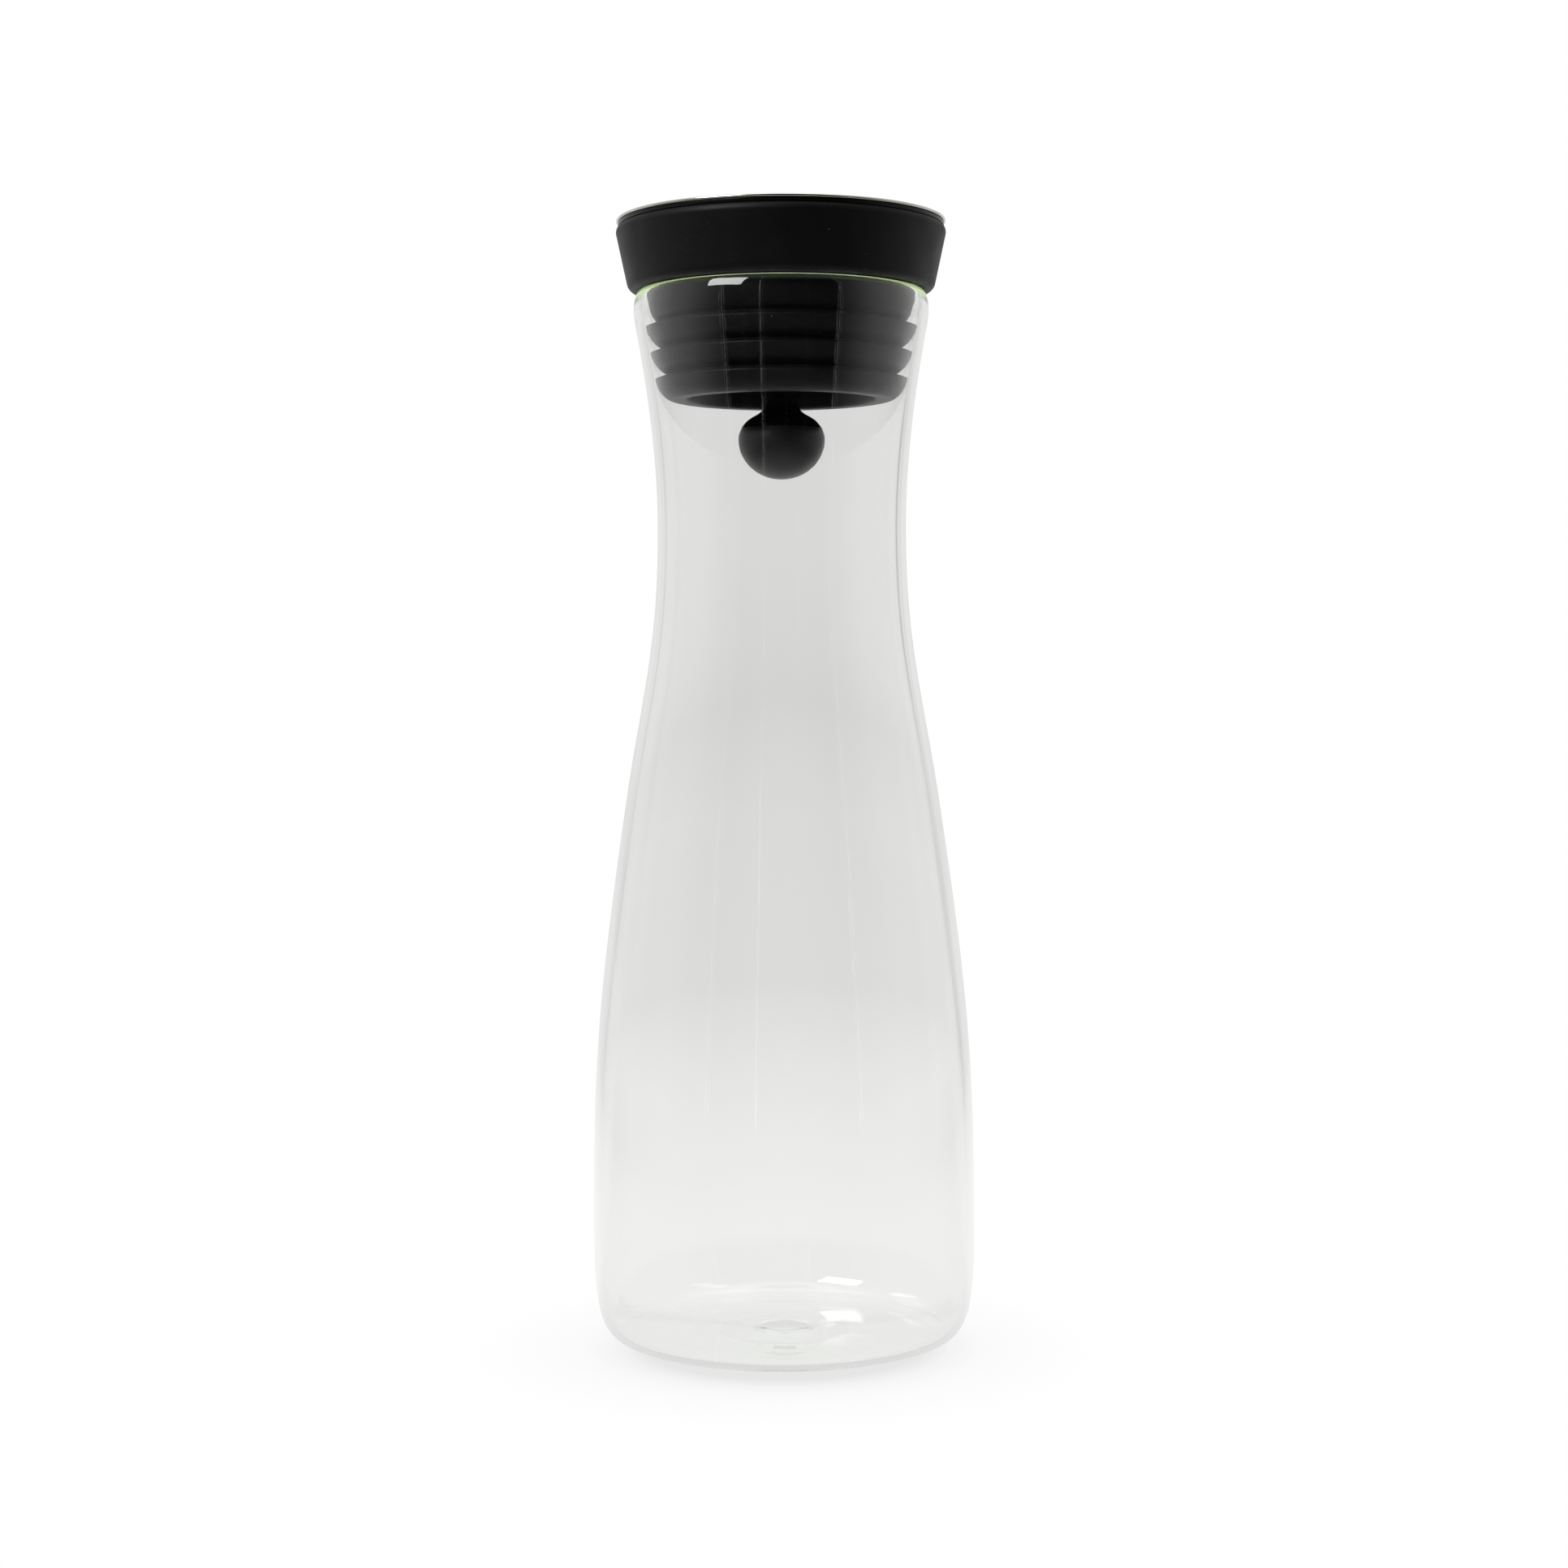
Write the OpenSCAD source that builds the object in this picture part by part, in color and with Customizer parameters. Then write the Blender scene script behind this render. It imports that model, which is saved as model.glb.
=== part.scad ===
// Water carafe of clear blown glass, closed by a stopper whose weighted lid
// tips open by itself when the carafe is tilted.
//
// Millimetres, +Z up. The origin is the middle of the foot, on the surface that
// the carafe stands on, and the carafe pours towards +X.

/* [Glass] */
// Height of the glass from its foot to the top of its rim
glass_h = 260; // [245:0.5:275]
// Outer radius of the body where it is widest
body_r = 47.5; // [45:0.5:52]
// Height at which the heel has reached the full radius
heel_h = 25; // [20:0.5:28]
// Height of the straight part of the body above the heel
straight_h = 4; // [2:0.5:20]
// Outer radius where the shoulder turns from bulging to hollow
shoulder_r = 39; // [37:0.25:41]
// Height of that turn
shoulder_h = 134; // [125:1:140]
// Outer radius of the neck at its waist
neck_r = 30.8; // [30:0.1:33]
// Depth of the waist below the rim
neck_drop = 58; // [50:1:66]
// Outer radius below the rim, where the neck stops flaring
lip_r = 36.2; // [35.2:0.1:38]
// Height of the rounded rim above that place
lip_h = 7.5; // [6:0.25:10]
// How far the flat ring that the carafe stands on lies inside the body
foot_in = 11.5; // [10:0.1:14]
// Radius of the corner between foot and heel
corner_r = 18; // [14:0.5:22]
// Wall of the body
body_wall = 2.0; // [1.6:0.1:2.6]
// Wall of the neck at its waist
neck_wall = 2.6; // [2:0.1:3]
// Wall below the rim
lip_wall = 2.1; // [1.8:0.1:2.4]
// Thickness of the floor at the heel
floor_t = 1.7; // [1.4:0.1:3]
// How much the inside of the floor rises towards the middle
floor_rise = 0.8; // [0.4:0.1:1.5]
// Radius of the hollow under the floor
punt_r = 16.4; // [12:0.2:20]
// Depth of that hollow
punt_h = 0.5; // [0.3:0.1:0.8]
// Radius of the drop of glass in the middle of the floor
drop_r = 8.6; // [6:0.2:11]
// Height of the drop above the floor
drop_h = 1.4; // [0.6:0.1:2]

/* [Stopper] */
// Height of the collar that stands on the rim
collar_h = 15.6; // [13:0.2:20]
// How far the underside of the collar stands out past the glass
collar_overhang = 2; // [1.4:0.1:3]
// How much further out the collar is near its top, where it is widest
collar_flare = 2.6; // [1.5:0.1:4]
// Radius of the edge round the underside
collar_edge_r = 2.2; // [1:0.1:2.6]
// Number of sealing lips
lip_count = 3; // [2:1:4]
// Depth of the first lip below the collar
first_lip_drop = 9.3; // [8.5:0.1:10]
// Distance from one lip to the next
lip_pitch = 6.4; // [5.8:0.1:6.8]
// How far a lip stands out of the notch above it
lip_reach = 3.3; // [2.5:0.1:3.5]
// Fall of a lip's upper face from the notch to the tip
lip_fall = 1.3; // [0.8:0.1:1.8]
// Space between a lip's tip and the glass
lip_gap = 0.3; // [0.25:0.05:0.6]
// Length of the plug below the last lip
sole_drop = 4.9; // [4:0.1:7]
// Wall of the silicone round the funnel at the last notch
sleeve_wall = 2.2; // [1.8:0.1:3]
// How far the opening at the foot of the plug is drawn in past the funnel
throat_in = 0.8; // [0.4:0.1:1.5]
// Thickness of the silicone under the funnel
sole_t = 5.2; // [4:0.1:6]

/* [Funnel and guide] */
// Wall of the funnel
funnel_wall = 1.5; // [1.2:0.1:1.8]
// Width of the collar's flat top round the funnel's mouth
band_w = 6.8; // [5.5:0.1:8.5]
// Height of the conical mouth
mouth_h = 8; // [6:0.2:10]
// Width of the flange round the funnel's mouth
flange_w = 3.2; // [2:0.1:4.5]
// Thickness of the flange
flange_t = 1.8; // [1.2:0.1:2.4]
// Silicone between the flange and the top of the collar
cover_t = 2.7; // [2:0.1:3.5]
// Width of the ledge that carries the stem guide
ledge_w = 1.0; // [0.6:0.1:1.3]
// Height of the stem guide
guide_h = 3.5; // [2.5:0.1:4.5]
// Wall of the guide's outer ring
guide_wall = 1.6; // [1.2:0.1:2.2]
// Play of the stem in the guide's hole when the lid is wide open
guide_play = 1.0; // [0.5:0.1:1.5]
// Wall of the guide's hub
hub_wall = 2.2; // [1.6:0.1:3]
// Width of the guide's two arms
arm_w = 5; // [3:0.5:8]

/* [Lid] */
// How far the steel cap's edge lies inside the collar's
cap_inset = 0.1; // [0:0.1:1]
// Thickness of the steel sheet
cap_t = 0.7; // [0.5:0.1:1.2]
// Rise of the cap from its edge to its middle
cap_rise = 1.8; // [1:0.1:3]
// How far the cap overhangs the core
cap_overhang = 0.4; // [0.2:0.1:0.8]
// Height of the core's rim between the collar and the cap
core_rim_h = 1.0; // [0.8:0.1:2]
// Depth that the core's plug reaches into the funnel
core_plug_h = 2.0; // [1:0.1:3]
// Wall of the boss round the stem
boss_wall = 2.6; // [1.8:0.1:3.5]
// Number of ribs under the core
rib_count = 6; // [4:1:12]
// Thickness of a rib
rib_w = 1.4; // [1:0.1:2]
// Widest opening angle of the lid
lid_swing = 14; // [8:1:14]

/* [Pendulum] */
// Radius of the stem
stem_r = 4.05; // [3.6:0.05:4.4]
// Depth that the stem sits in the core's boss
stem_seat_h = 8; // [6:0.5:9]
// Radius of the weight
weight_r = 10.7; // [10.4:0.1:11.2]
// Height of the weight from its widest place down to its lowest
bowl_h = 9.7; // [9:0.1:10.5]
// Height of the weight's shoulder above its widest place
shoulder_rise = 5.5; // [5:0.1:6]
// Height of the neck that flares from the stem to the shoulder
flare_h = 3.9; // [3:0.1:5]
// Depth of the weight's widest place below the plug
weight_drop = 9.7; // [9:0.1:12]
// Height of the seam between cap and bowl above the widest place
seam_rise = 2.8; // [2:0.1:3.5]
// Wall of the bowl
bowl_wall = 1.5; // [1.2:0.1:2]
// Radius of the screw's thread
screw_r = 1.5; // [1.2:0.1:1.8]
// Length of the screw inside the stem
screw_h = 13; // [10:0.5:18]
// Radius of the screw's head
screw_head_r = 3; // [2.6:0.1:3.5]
// Height of the screw's head
screw_head_h = 1.8; // [1.4:0.1:2.2]

/* [Hidden] */
$fn = 96;

// Cuts run past the faces that they open by this much
over = 1;
// Play between pieces of one assembly
fit = 0.1;
// Play between the collar and the rim of the glass
rim_gap = 0.3;
// Play between the lid and the collar
lid_gap = 0.1;
// Steps of a curve
curve_n = 14;
long_n = 28;

// The glass: how far its curves keep their direction, as shares of the height that they span
heel_shares = [0.2, 0.72];
body_shares = [0.364, 0.479];
shoulder_shares = [0.4, 0.437];
neck_shares = [0.441, 0.145];
floor_shares = [0.28, 0.88];
// Directions of the glass, as degrees from upright
corner_turn = 15;
shoulder_lean = -8.5;
lip_lean = 9.8;
// The rim: its widest place, its crown and its inner edge, as shares of the rim's height and wall
rim_wide_share = 0.42;
rim_bulge_share = 0.14;
rim_crown_share = 0.45;
rim_inner_share = 0.7;
// How round the rim is, as shares of the way to each corner of its curves
rim_shares = [0.4, 0.6];
// Heights of the glass, from the foot up, and the radius of its foot
body_h = heel_h + straight_h;
neck_h = glass_h - neck_drop;
lip_z = glass_h - lip_h;
foot_r = body_r - foot_in;

// Points of a cubic curve from a to d that leaves towards b and arrives from c
function curve(a, b, c, d, n) = [for (i = [0:n]) let (t = i / n, s = 1 - t)
    s * s * s * a + 3 * s * s * t * b + 3 * s * t * t * c + t * t * t * d];

// Points of an arc round a centre, from one angle to another
function arc(x, z, rx, rz, from, to, n) = [for (i = [0:n]) let (a = from + (to - from) * i / n)
    [x + rx * cos(a), z + rz * sin(a)]];

// A step of a given length at an angle from upright
function step_up(length, lean) = length * [sin(lean), cos(lean)];

// A list without its first point, to join it to the one before
function rest(points) = [for (i = [1:len(points) - 1]) points[i]];

// One side of the glass from the body to below the rim, at a wall's depth inside the outer one
function side(body_in, shoulder_in, neck_in, lip_in) =
    let (body = [body_r - body_in, body_h], shoulder = [shoulder_r - shoulder_in, shoulder_h],
         neck = [neck_r - neck_in, neck_h], lip = [lip_r - lip_in, lip_z],
         low = shoulder_h - body_h, middle = neck_h - shoulder_h, high = lip_z - neck_h)
    concat(
        curve(body, body + step_up(low * body_shares[0], 0),
              shoulder - step_up(low * body_shares[1], shoulder_lean), shoulder, long_n),
        rest(curve(shoulder, shoulder + step_up(middle * shoulder_shares[0], shoulder_lean),
              neck - step_up(middle * shoulder_shares[1], 0), neck, long_n)),
        rest(curve(neck, neck + step_up(high * neck_shares[0], 0),
              lip - step_up(high * neck_shares[1], lip_lean), lip, long_n)));

function turned_round(points) = [for (i = [len(points) - 1:-1:0]) points[i]];

outer_side = side(0, 0, 0, 0);
inner_side = side(body_wall, (body_wall + neck_wall) / 2, neck_wall, lip_wall);

// Inner radius of the glass at a height between the body and the rim
function glass_r(z) = lookup(z, [for (p = inner_side) [p[1], p[0]]]);

// The foot, the corner and the heel, from the hollow under the floor to the body
heel_from = [foot_r + corner_r * sin(corner_turn), corner_r * (1 - cos(corner_turn))];
outer_foot = concat(
    [for (i = [0:curve_n]) let (x = i / curve_n)
        [punt_r * x, punt_h * (1 - x * x) * (1 - x * x)]],
    arc(foot_r, corner_r, corner_r, corner_r, -90, corner_turn - 90, curve_n / 2),
    rest(curve(heel_from,
          heel_from + heel_shares[0] * heel_h * [cos(corner_turn), sin(corner_turn)],
          [body_r, heel_h * (1 - heel_shares[1])], [body_r, heel_h], curve_n)));

// Height of the inner floor at a radius, which rises gently towards the middle
function floor_z(r) = floor_t + floor_rise * (1 - pow(r / foot_r, 2)) * (1 - pow(r / foot_r, 2));

// The inner floor with its drop of glass, and the inner heel
inner_foot = concat(
    [for (i = [0:curve_n]) let (x = i / curve_n)
        [drop_r * x, floor_z(drop_r * x) + drop_h * (1 - x * x) * (1 - x * x)]],
    [for (i = [1:curve_n - 1]) let (r = drop_r + (foot_r - drop_r) * i / curve_n) [r, floor_z(r)]],
    curve([foot_r, floor_t], [foot_r + heel_h * floor_shares[0], floor_t],
          [body_r - body_wall, heel_h * (1 - floor_shares[1])],
          [body_r - body_wall, heel_h], curve_n));

// The rounded rim, from the outer side over the crown to the inner side
rim_wide = [lip_r + lip_wall * rim_bulge_share, lip_z + lip_h * rim_wide_share];
rim_crown = [lip_r - lip_wall * rim_crown_share, glass_h];
rim_inner = [lip_r - lip_wall * (1 - rim_bulge_share), lip_z + lip_h * rim_inner_share];
rim = concat(
    curve([lip_r, lip_z], [lip_r, lip_z] + step_up(lip_h * rim_wide_share * rim_shares[0], lip_lean),
          rim_wide - step_up(lip_h * rim_wide_share * rim_shares[0], 0), rim_wide, curve_n / 2),
    rest(curve(rim_wide, [rim_wide[0], rim_wide[1] + (glass_h - rim_wide[1]) * rim_shares[0]],
          [rim_crown[0] + (rim_wide[0] - rim_crown[0]) * rim_shares[1], glass_h], rim_crown, curve_n)),
    rest(curve(rim_crown, [rim_crown[0] - (rim_crown[0] - rim_inner[0]) * rim_shares[1], glass_h],
          [rim_inner[0], rim_inner[1] + (glass_h - rim_inner[1]) * rim_shares[0]], rim_inner, curve_n)));

module carafe_glass() {
    color([0.86, 0.9, 0.9, 0.35])
        rotate_extrude()
            polygon(concat(outer_foot, outer_side, rest(rim),
                           turned_round(inner_side), turned_round(inner_foot)));
}

// The stopper, from the top down
sleeve_foot_z = glass_h + rim_gap;
collar_z = sleeve_foot_z + collar_h;
collar_foot_r = lip_r + collar_overhang;
collar_top_r = collar_foot_r + collar_flare;
plug_z = sleeve_foot_z - first_lip_drop - (lip_count - 1) * lip_pitch - sole_drop;
// The collar's top edge: how far it is drawn in, and over what height
top_edge_w = 0.5;
top_edge_h = 1.5;
// The plug's first bulge, and its radius less than the glass
bulge_drop = 3;
bulge_gap = 1.2;
// A lip's flank, as shares of its width and height
flank_shares = [0.25, 0.8];
// The plug's sole, and the round of its two edges
sole_edge_w = 3.6;
bead_r = 0.7;

function tip_z(i) = sleeve_foot_z - first_lip_drop - i * lip_pitch;
function tip_r(i) = glass_r(tip_z(i)) - lip_gap;
function tip(i) = [tip_r(i), tip_z(i)];

// The notch above a lip
function notch(i) = [tip_r(i) - lip_reach, tip_z(i) + lip_fall];

// A convex flank from a tip down to a notch
function flank(high, low) = [for (i = [0:curve_n]) let (t = i / curve_n, s = 1 - t)
    s * s * high + 2 * s * t * [high[0] - (high[0] - low[0]) * flank_shares[0],
                                high[1] - (high[1] - low[1]) * flank_shares[1]] + t * t * low];

// The funnel, from the top down
bore_r = tip_r(lip_count - 1) - lip_reach - sleeve_wall - funnel_wall;
throat_r = bore_r - throat_in;
mouth_r = collar_top_r - band_w;
flange_r = mouth_r + flange_w;
flange_top_z = collar_z - cover_t;
flange_z = flange_top_z - flange_t;
mouth_z = flange_top_z - mouth_h;
ledge_r = bore_r + ledge_w;
mouth_wall = funnel_wall * sqrt(pow(mouth_r - ledge_r, 2) + pow(mouth_h, 2)) / mouth_h;
ledge_z = mouth_z - guide_h - fit;
funnel_z = plug_z + sole_t;
// The ledge's own thickness below the guide
ledge_t = 1.5;

// The lid, from the seat up
seat_z = collar_z + lid_gap;
cap_z = seat_z + core_rim_h;
cap_r = collar_top_r - cap_inset;
core_r = cap_r - cap_overhang;
// Play of the core's plug in the funnel's mouth, and the plug's own wall
plug_play = 0.5;
core_plug_wall = 2;
core_plug_r = mouth_r - plug_play;
core_plug_z = seat_z - core_plug_h;
dome_r = (pow(cap_r, 2) + pow(cap_rise, 2)) / (2 * cap_rise);
boss_r = stem_r + boss_wall;
boss_z = core_plug_z - stem_seat_h;
// The recess round the boss, with its ribs
recess_r = core_plug_r - core_plug_wall;
recess_h = 1.6;
// The guide's hole that the stem swings in: wide enough for the open lid, too narrow for the weight
swing_h = seat_z - ledge_z;
guide_hole_r = swing_h * tan(lid_swing) + core_r * (1 / cos(lid_swing) - 1) + stem_r / cos(lid_swing)
             + guide_play;

// The pendulum, from the top down
stem_top_z = core_plug_z;
weight_z = plug_z - weight_drop;
neck_z = weight_z + shoulder_rise + flare_h;
seam_z = weight_z + seam_rise;
// The core's floor under the screw's head, and the space left below the screw
screw_seat_t = 1.6;
screw_play = 1;
screw_head_z = stem_top_z + screw_seat_t;
// The stem's thin end, which holds the slug
tail_r = 2.5;
tail_h = 7;
// The weight's outline: where the flare meets the shoulder, as a share of the radius, and how
// round the two are, as shares of their widths and heights
waist_share = 0.69;
crown_shares = [0.5, 0.5, 0.82];
flare_shares = [0.6, 0.45, 0.22];

// The sleeve's first bulge and sole, and the collar's taper
bulge = [glass_r(lip_z) - bulge_gap, sleeve_foot_z - bulge_drop];
sole = [tip_r(lip_count - 1) - sole_edge_w, plug_z];
taper = atan2(collar_top_r - collar_foot_r, collar_h);

// The funnel's outer side, from its foot to the mouth
funnel_outside = [
    [bore_r + funnel_wall, funnel_z],
    [bore_r + funnel_wall, ledge_z - ledge_t],
    [ledge_r + mouth_wall, ledge_z - ledge_t + ledge_w],
    [ledge_r + mouth_wall, mouth_z],
    [mouth_r + mouth_wall - (mouth_r - ledge_r) * flange_t / mouth_h, flange_z],
    [flange_r, flange_z],
    [flange_r, flange_top_z],
    [mouth_r, flange_top_z]];

sleeve_outline = concat(
    [[mouth_r, collar_z], [collar_top_r - top_edge_w, collar_z]],
    curve([collar_top_r - top_edge_w, collar_z], [collar_top_r - top_edge_w / 2, collar_z - top_edge_h / 4],
          [collar_top_r, collar_z - top_edge_h / 2], [collar_top_r, collar_z - top_edge_h], curve_n / 2),
    arc(collar_foot_r - collar_edge_r, sleeve_foot_z + collar_edge_r, collar_edge_r, collar_edge_r,
        -taper, -90, curve_n / 2),
    [[bulge[0], sleeve_foot_z]],
    flank(bulge, notch(0)),
    [for (i = [0:lip_count - 2]) each flank(tip(i), notch(i + 1))],
    flank(tip(lip_count - 1), sole),
    arc(throat_r + bead_r, plug_z + bead_r, bead_r, bead_r, -90, -180, curve_n / 2),
    [[throat_r, funnel_z]],
    funnel_outside);

module stopper_sleeve() {
    color([0.09, 0.09, 0.1])
        rotate_extrude()
            polygon(sleeve_outline);
}

// The hard funnel inside the sleeve, with a ledge for the stem guide
module pour_funnel() {
    color([0.13, 0.13, 0.14])
        rotate_extrude()
            polygon(concat([[bore_r, funnel_z]], funnel_outside,
                           [[ledge_r, mouth_z], [ledge_r, ledge_z], [bore_r, ledge_z]]));
}

// The guide: a ring on the funnel's ledge, with a hub that keeps the stem in the middle
module stem_guide() {
    ring_r = ledge_r - fit;
    hub_r = guide_hole_r + hub_wall;
    color([0.16, 0.16, 0.17])
        translate([0, 0, ledge_z])
            difference() {
                union() {
                    difference() {
                        cylinder(r = ring_r, h = guide_h);
                        translate([0, 0, -over])
                            cylinder(r = ring_r - guide_wall, h = guide_h + 2 * over);
                    }
                    intersection() {
                        cylinder(r = ring_r, h = guide_h);
                        translate([-arm_w / 2, -ring_r, 0])
                            cube([arm_w, 2 * ring_r, guide_h]);
                    }
                    cylinder(r = hub_r, h = guide_h);
                }
                translate([0, 0, -over])
                    cylinder(r = guide_hole_r, h = guide_h + 2 * over);
            }
}

// The dome of the cap at a height above its own edge
function dome(base, edge_r, n) = [for (i = [0:n]) let (x = edge_r * i / n)
    [x, base + sqrt(pow(dome_r, 2) - x * x) - (dome_r - cap_rise)]];

// The pressed steel cap, with a rounded edge
module lid_cap() {
    color([0.78, 0.79, 0.8])
        rotate_extrude()
            polygon(concat(
                dome(cap_z + cap_t, cap_r - cap_t / 2, curve_n),
                rest(arc(cap_r - cap_t / 2, cap_z + cap_t / 2, cap_t / 2, cap_t / 2, 90, -90, curve_n / 2)),
                turned_round(dome(cap_z, cap_r - cap_t, curve_n))));
}

// The core under the cap: a rim that rests on the collar, a plug and a boss for the stem
module lid_core() {
    rib_from = boss_r - boss_wall / 2;
    rib_to = recess_r + core_plug_wall / 2;
    color([0.1, 0.1, 0.11])
        difference() {
            union() {
                rotate_extrude()
                    polygon(concat(
                        turned_round(dome(cap_z - fit / 2, core_r - cap_t, curve_n)),
                        [[0, boss_z], [boss_r, boss_z], [boss_r, core_plug_z + recess_h],
                         [recess_r, core_plug_z + recess_h], [recess_r, core_plug_z],
                         [core_plug_r, core_plug_z], [core_plug_r, seat_z], [core_r, seat_z],
                         [core_r, cap_z - fit / 2]]));
                for (i = [0:rib_count - 1])
                    rotate((i + 0.5) * 360 / rib_count)
                        translate([rib_from, -rib_w / 2, core_plug_z])
                            cube([rib_to - rib_from, rib_w, recess_h + core_rim_h / 2]);
            }
            translate([0, 0, boss_z - over])
                cylinder(r = stem_r, h = stem_seat_h + over);
            translate([0, 0, stem_top_z - over])
                cylinder(r = screw_r + fit, h = screw_seat_t + 2 * over);
            translate([0, 0, screw_head_z])
                cylinder(r = screw_head_r + fit, h = cap_rise + cap_t + core_rim_h + over);
        }
}

// The rod between lid and weight, with a thin end for the slug
module pendulum_stem() {
    color([0.1, 0.1, 0.11])
        difference() {
            union() {
                translate([0, 0, seam_z])
                    cylinder(r = stem_r, h = stem_top_z - seam_z);
                translate([0, 0, seam_z - tail_h])
                    cylinder(r = tail_r, h = tail_h + over);
            }
            translate([0, 0, stem_top_z - screw_h - screw_play])
                cylinder(r = screw_r, h = screw_h + screw_play + over);
        }
}

// The screw that holds the stem to the core, hidden under the cap
module stem_screw() {
    color([0.7, 0.7, 0.72])
        difference() {
            union() {
                translate([0, 0, screw_head_z])
                    cylinder(r = screw_head_r, h = screw_head_h);
                translate([0, 0, stem_top_z - screw_h])
                    cylinder(r = screw_r, h = screw_h + screw_seat_t + screw_head_h / 2);
            }
            translate([0, 0, screw_head_z + screw_head_h / 2])
                cylinder(r = screw_r, h = screw_head_h / 2 + over);
        }
}

// Outline of the weight from the stem down to the seam, and from the seam to its lowest point
waist = [weight_r * waist_share, weight_z + shoulder_rise];
crown_outline = concat(
    curve([stem_r, neck_z], [stem_r, neck_z - flare_h * flare_shares[0]],
          waist + [-(waist[0] - stem_r) * flare_shares[1], flare_h * flare_shares[2]], waist, curve_n),
    rest(curve(waist,
          [waist[0] + (weight_r - waist[0]) * crown_shares[0], weight_z + shoulder_rise * crown_shares[2]],
          [weight_r, weight_z + shoulder_rise * crown_shares[1]], [weight_r, weight_z], curve_n)));

// Radius of the weight at its seam
seam_r = lookup(seam_z, [for (p = turned_round(crown_outline)) [p[1], p[0]]]);

// The turned steel slug that gives the weight its mass
module weight_slug() {
    slug_r = weight_r - bowl_wall - fit;
    color([0.6, 0.61, 0.63])
        difference() {
            rotate_extrude()
                polygon(concat([[0, seam_z]],
                               [[slug_r - bowl_wall / 2, seam_z]],
                               arc(0, weight_z, slug_r, bowl_h - bowl_wall - fit, 0, -90, curve_n)));
            translate([0, 0, seam_z - tail_h])
                cylinder(r = tail_r, h = tail_h + over);
        }
}

// The upper half of the weight's casing, drawn up into a neck round the stem
module weight_cap() {
    color([0.08, 0.08, 0.09])
        rotate_extrude()
            polygon(concat([for (p = crown_outline) if (p[1] > seam_z) p],
                           [[seam_r, seam_z], [stem_r, seam_z]]));
}

// The lower half of the casing, a bowl round the slug
module weight_bowl() {
    color([0.14, 0.14, 0.15])
        rotate_extrude()
            polygon(concat([[seam_r - bowl_wall / 2, seam_z], [seam_r, seam_z]],
                           [for (p = crown_outline) if (p[1] < seam_z && p[1] > weight_z) p],
                           arc(0, weight_z, weight_r, bowl_h, 0, -90, curve_n),
                           turned_round(arc(0, weight_z, weight_r - bowl_wall, bowl_h - bowl_wall,
                                            0, -90, curve_n))));
}

carafe_glass();
stopper_sleeve();
pour_funnel();
stem_guide();
lid_cap();
lid_core();
pendulum_stem();
stem_screw();
weight_slug();
weight_cap();
weight_bowl();
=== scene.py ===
"""Glass carafe with a silicone stopper and a lid that hangs on a weighted stem.

The carafe stands on its foot at the origin, +Z up, and pours towards +X. Sizes of its parts are
millimetres, as on the maker's drawing, and become metres when a mesh is made. The studio's are metres.
"""
import logging
import math
import sys
from dataclasses import dataclass
from enum import Enum

import bpy
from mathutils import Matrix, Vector

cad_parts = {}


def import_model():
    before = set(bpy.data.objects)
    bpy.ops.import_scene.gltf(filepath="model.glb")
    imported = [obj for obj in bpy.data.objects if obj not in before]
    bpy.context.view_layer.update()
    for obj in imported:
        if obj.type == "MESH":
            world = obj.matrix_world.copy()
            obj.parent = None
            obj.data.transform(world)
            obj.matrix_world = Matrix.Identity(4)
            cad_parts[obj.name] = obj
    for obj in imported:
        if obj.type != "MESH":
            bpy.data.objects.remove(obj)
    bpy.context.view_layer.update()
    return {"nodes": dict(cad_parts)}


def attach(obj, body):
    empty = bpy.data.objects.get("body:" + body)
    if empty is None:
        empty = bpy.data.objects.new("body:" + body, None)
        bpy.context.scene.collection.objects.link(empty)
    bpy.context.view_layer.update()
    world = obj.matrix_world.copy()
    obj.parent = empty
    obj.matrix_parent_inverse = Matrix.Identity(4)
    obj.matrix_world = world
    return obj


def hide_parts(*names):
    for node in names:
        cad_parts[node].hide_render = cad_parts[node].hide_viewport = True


LOG = logging.getLogger("carafe")
MM = 0.001

Point = tuple[float, float]
Outline = list[Point]
Triple = tuple[float, float, float]
Colour = tuple[float, float, float, float]
Piece = bpy.types.Object
Node = bpy.types.Node
Socket = bpy.types.NodeSocket


class Body(Enum):
    """The parts that move as one."""

    CARAFE = "carafe"
    STOPPER = "stopper"
    LID = "lid"


class Slot(Enum):
    """The record's material slots."""

    GLASS = "glass"
    SILICONE = "silicone"
    PLASTIC = "black_plastic"
    COAT = "weight_coat"
    POLISHED = "polished_steel"
    STEEL = "plain_steel"


# Outlines

# Lengths below the first count as none, and points closer than the second are one
TINY = 1e-9
SAME_PLACE = 1e-6
# How corners are softened: the points in each softness of length, the neighbours on each side that a
# point is averaged with, how wide their weights spread, and how flat a bend in it may be left out
SOFT_POINTS = 3
SOFT_NEIGHBOURS = 4
SOFT_SPREAD = 1.6
SOFT_FLATNESS = 40
# A straight stretch gets props when it is this many times longer than their distance from its ends
LONG_STRETCH = 4


def between(a: Point, b: Point, share: float) -> Point:
    """The point at a share of the way from one point to another."""
    return a[0] + (b[0] - a[0]) * share, a[1] + (b[1] - a[1]) * share


def distance(a: Point, b: Point) -> float:
    """Distance between two points of an outline."""
    return math.hypot(b[0] - a[0], b[1] - a[1])


def stepped(point: Point, length: float, lean: float) -> Point:
    """The point a length away from another, in a direction given in degrees from upright."""
    turn = math.radians(lean)
    return point[0] + length * math.sin(turn), point[1] + length * math.cos(turn)


def mound(share: float) -> float:
    """Height of a soft mound at a share of its radius, from 1 in its middle to 0 at its edge."""
    return (1 - share ** 2) ** 2


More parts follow.
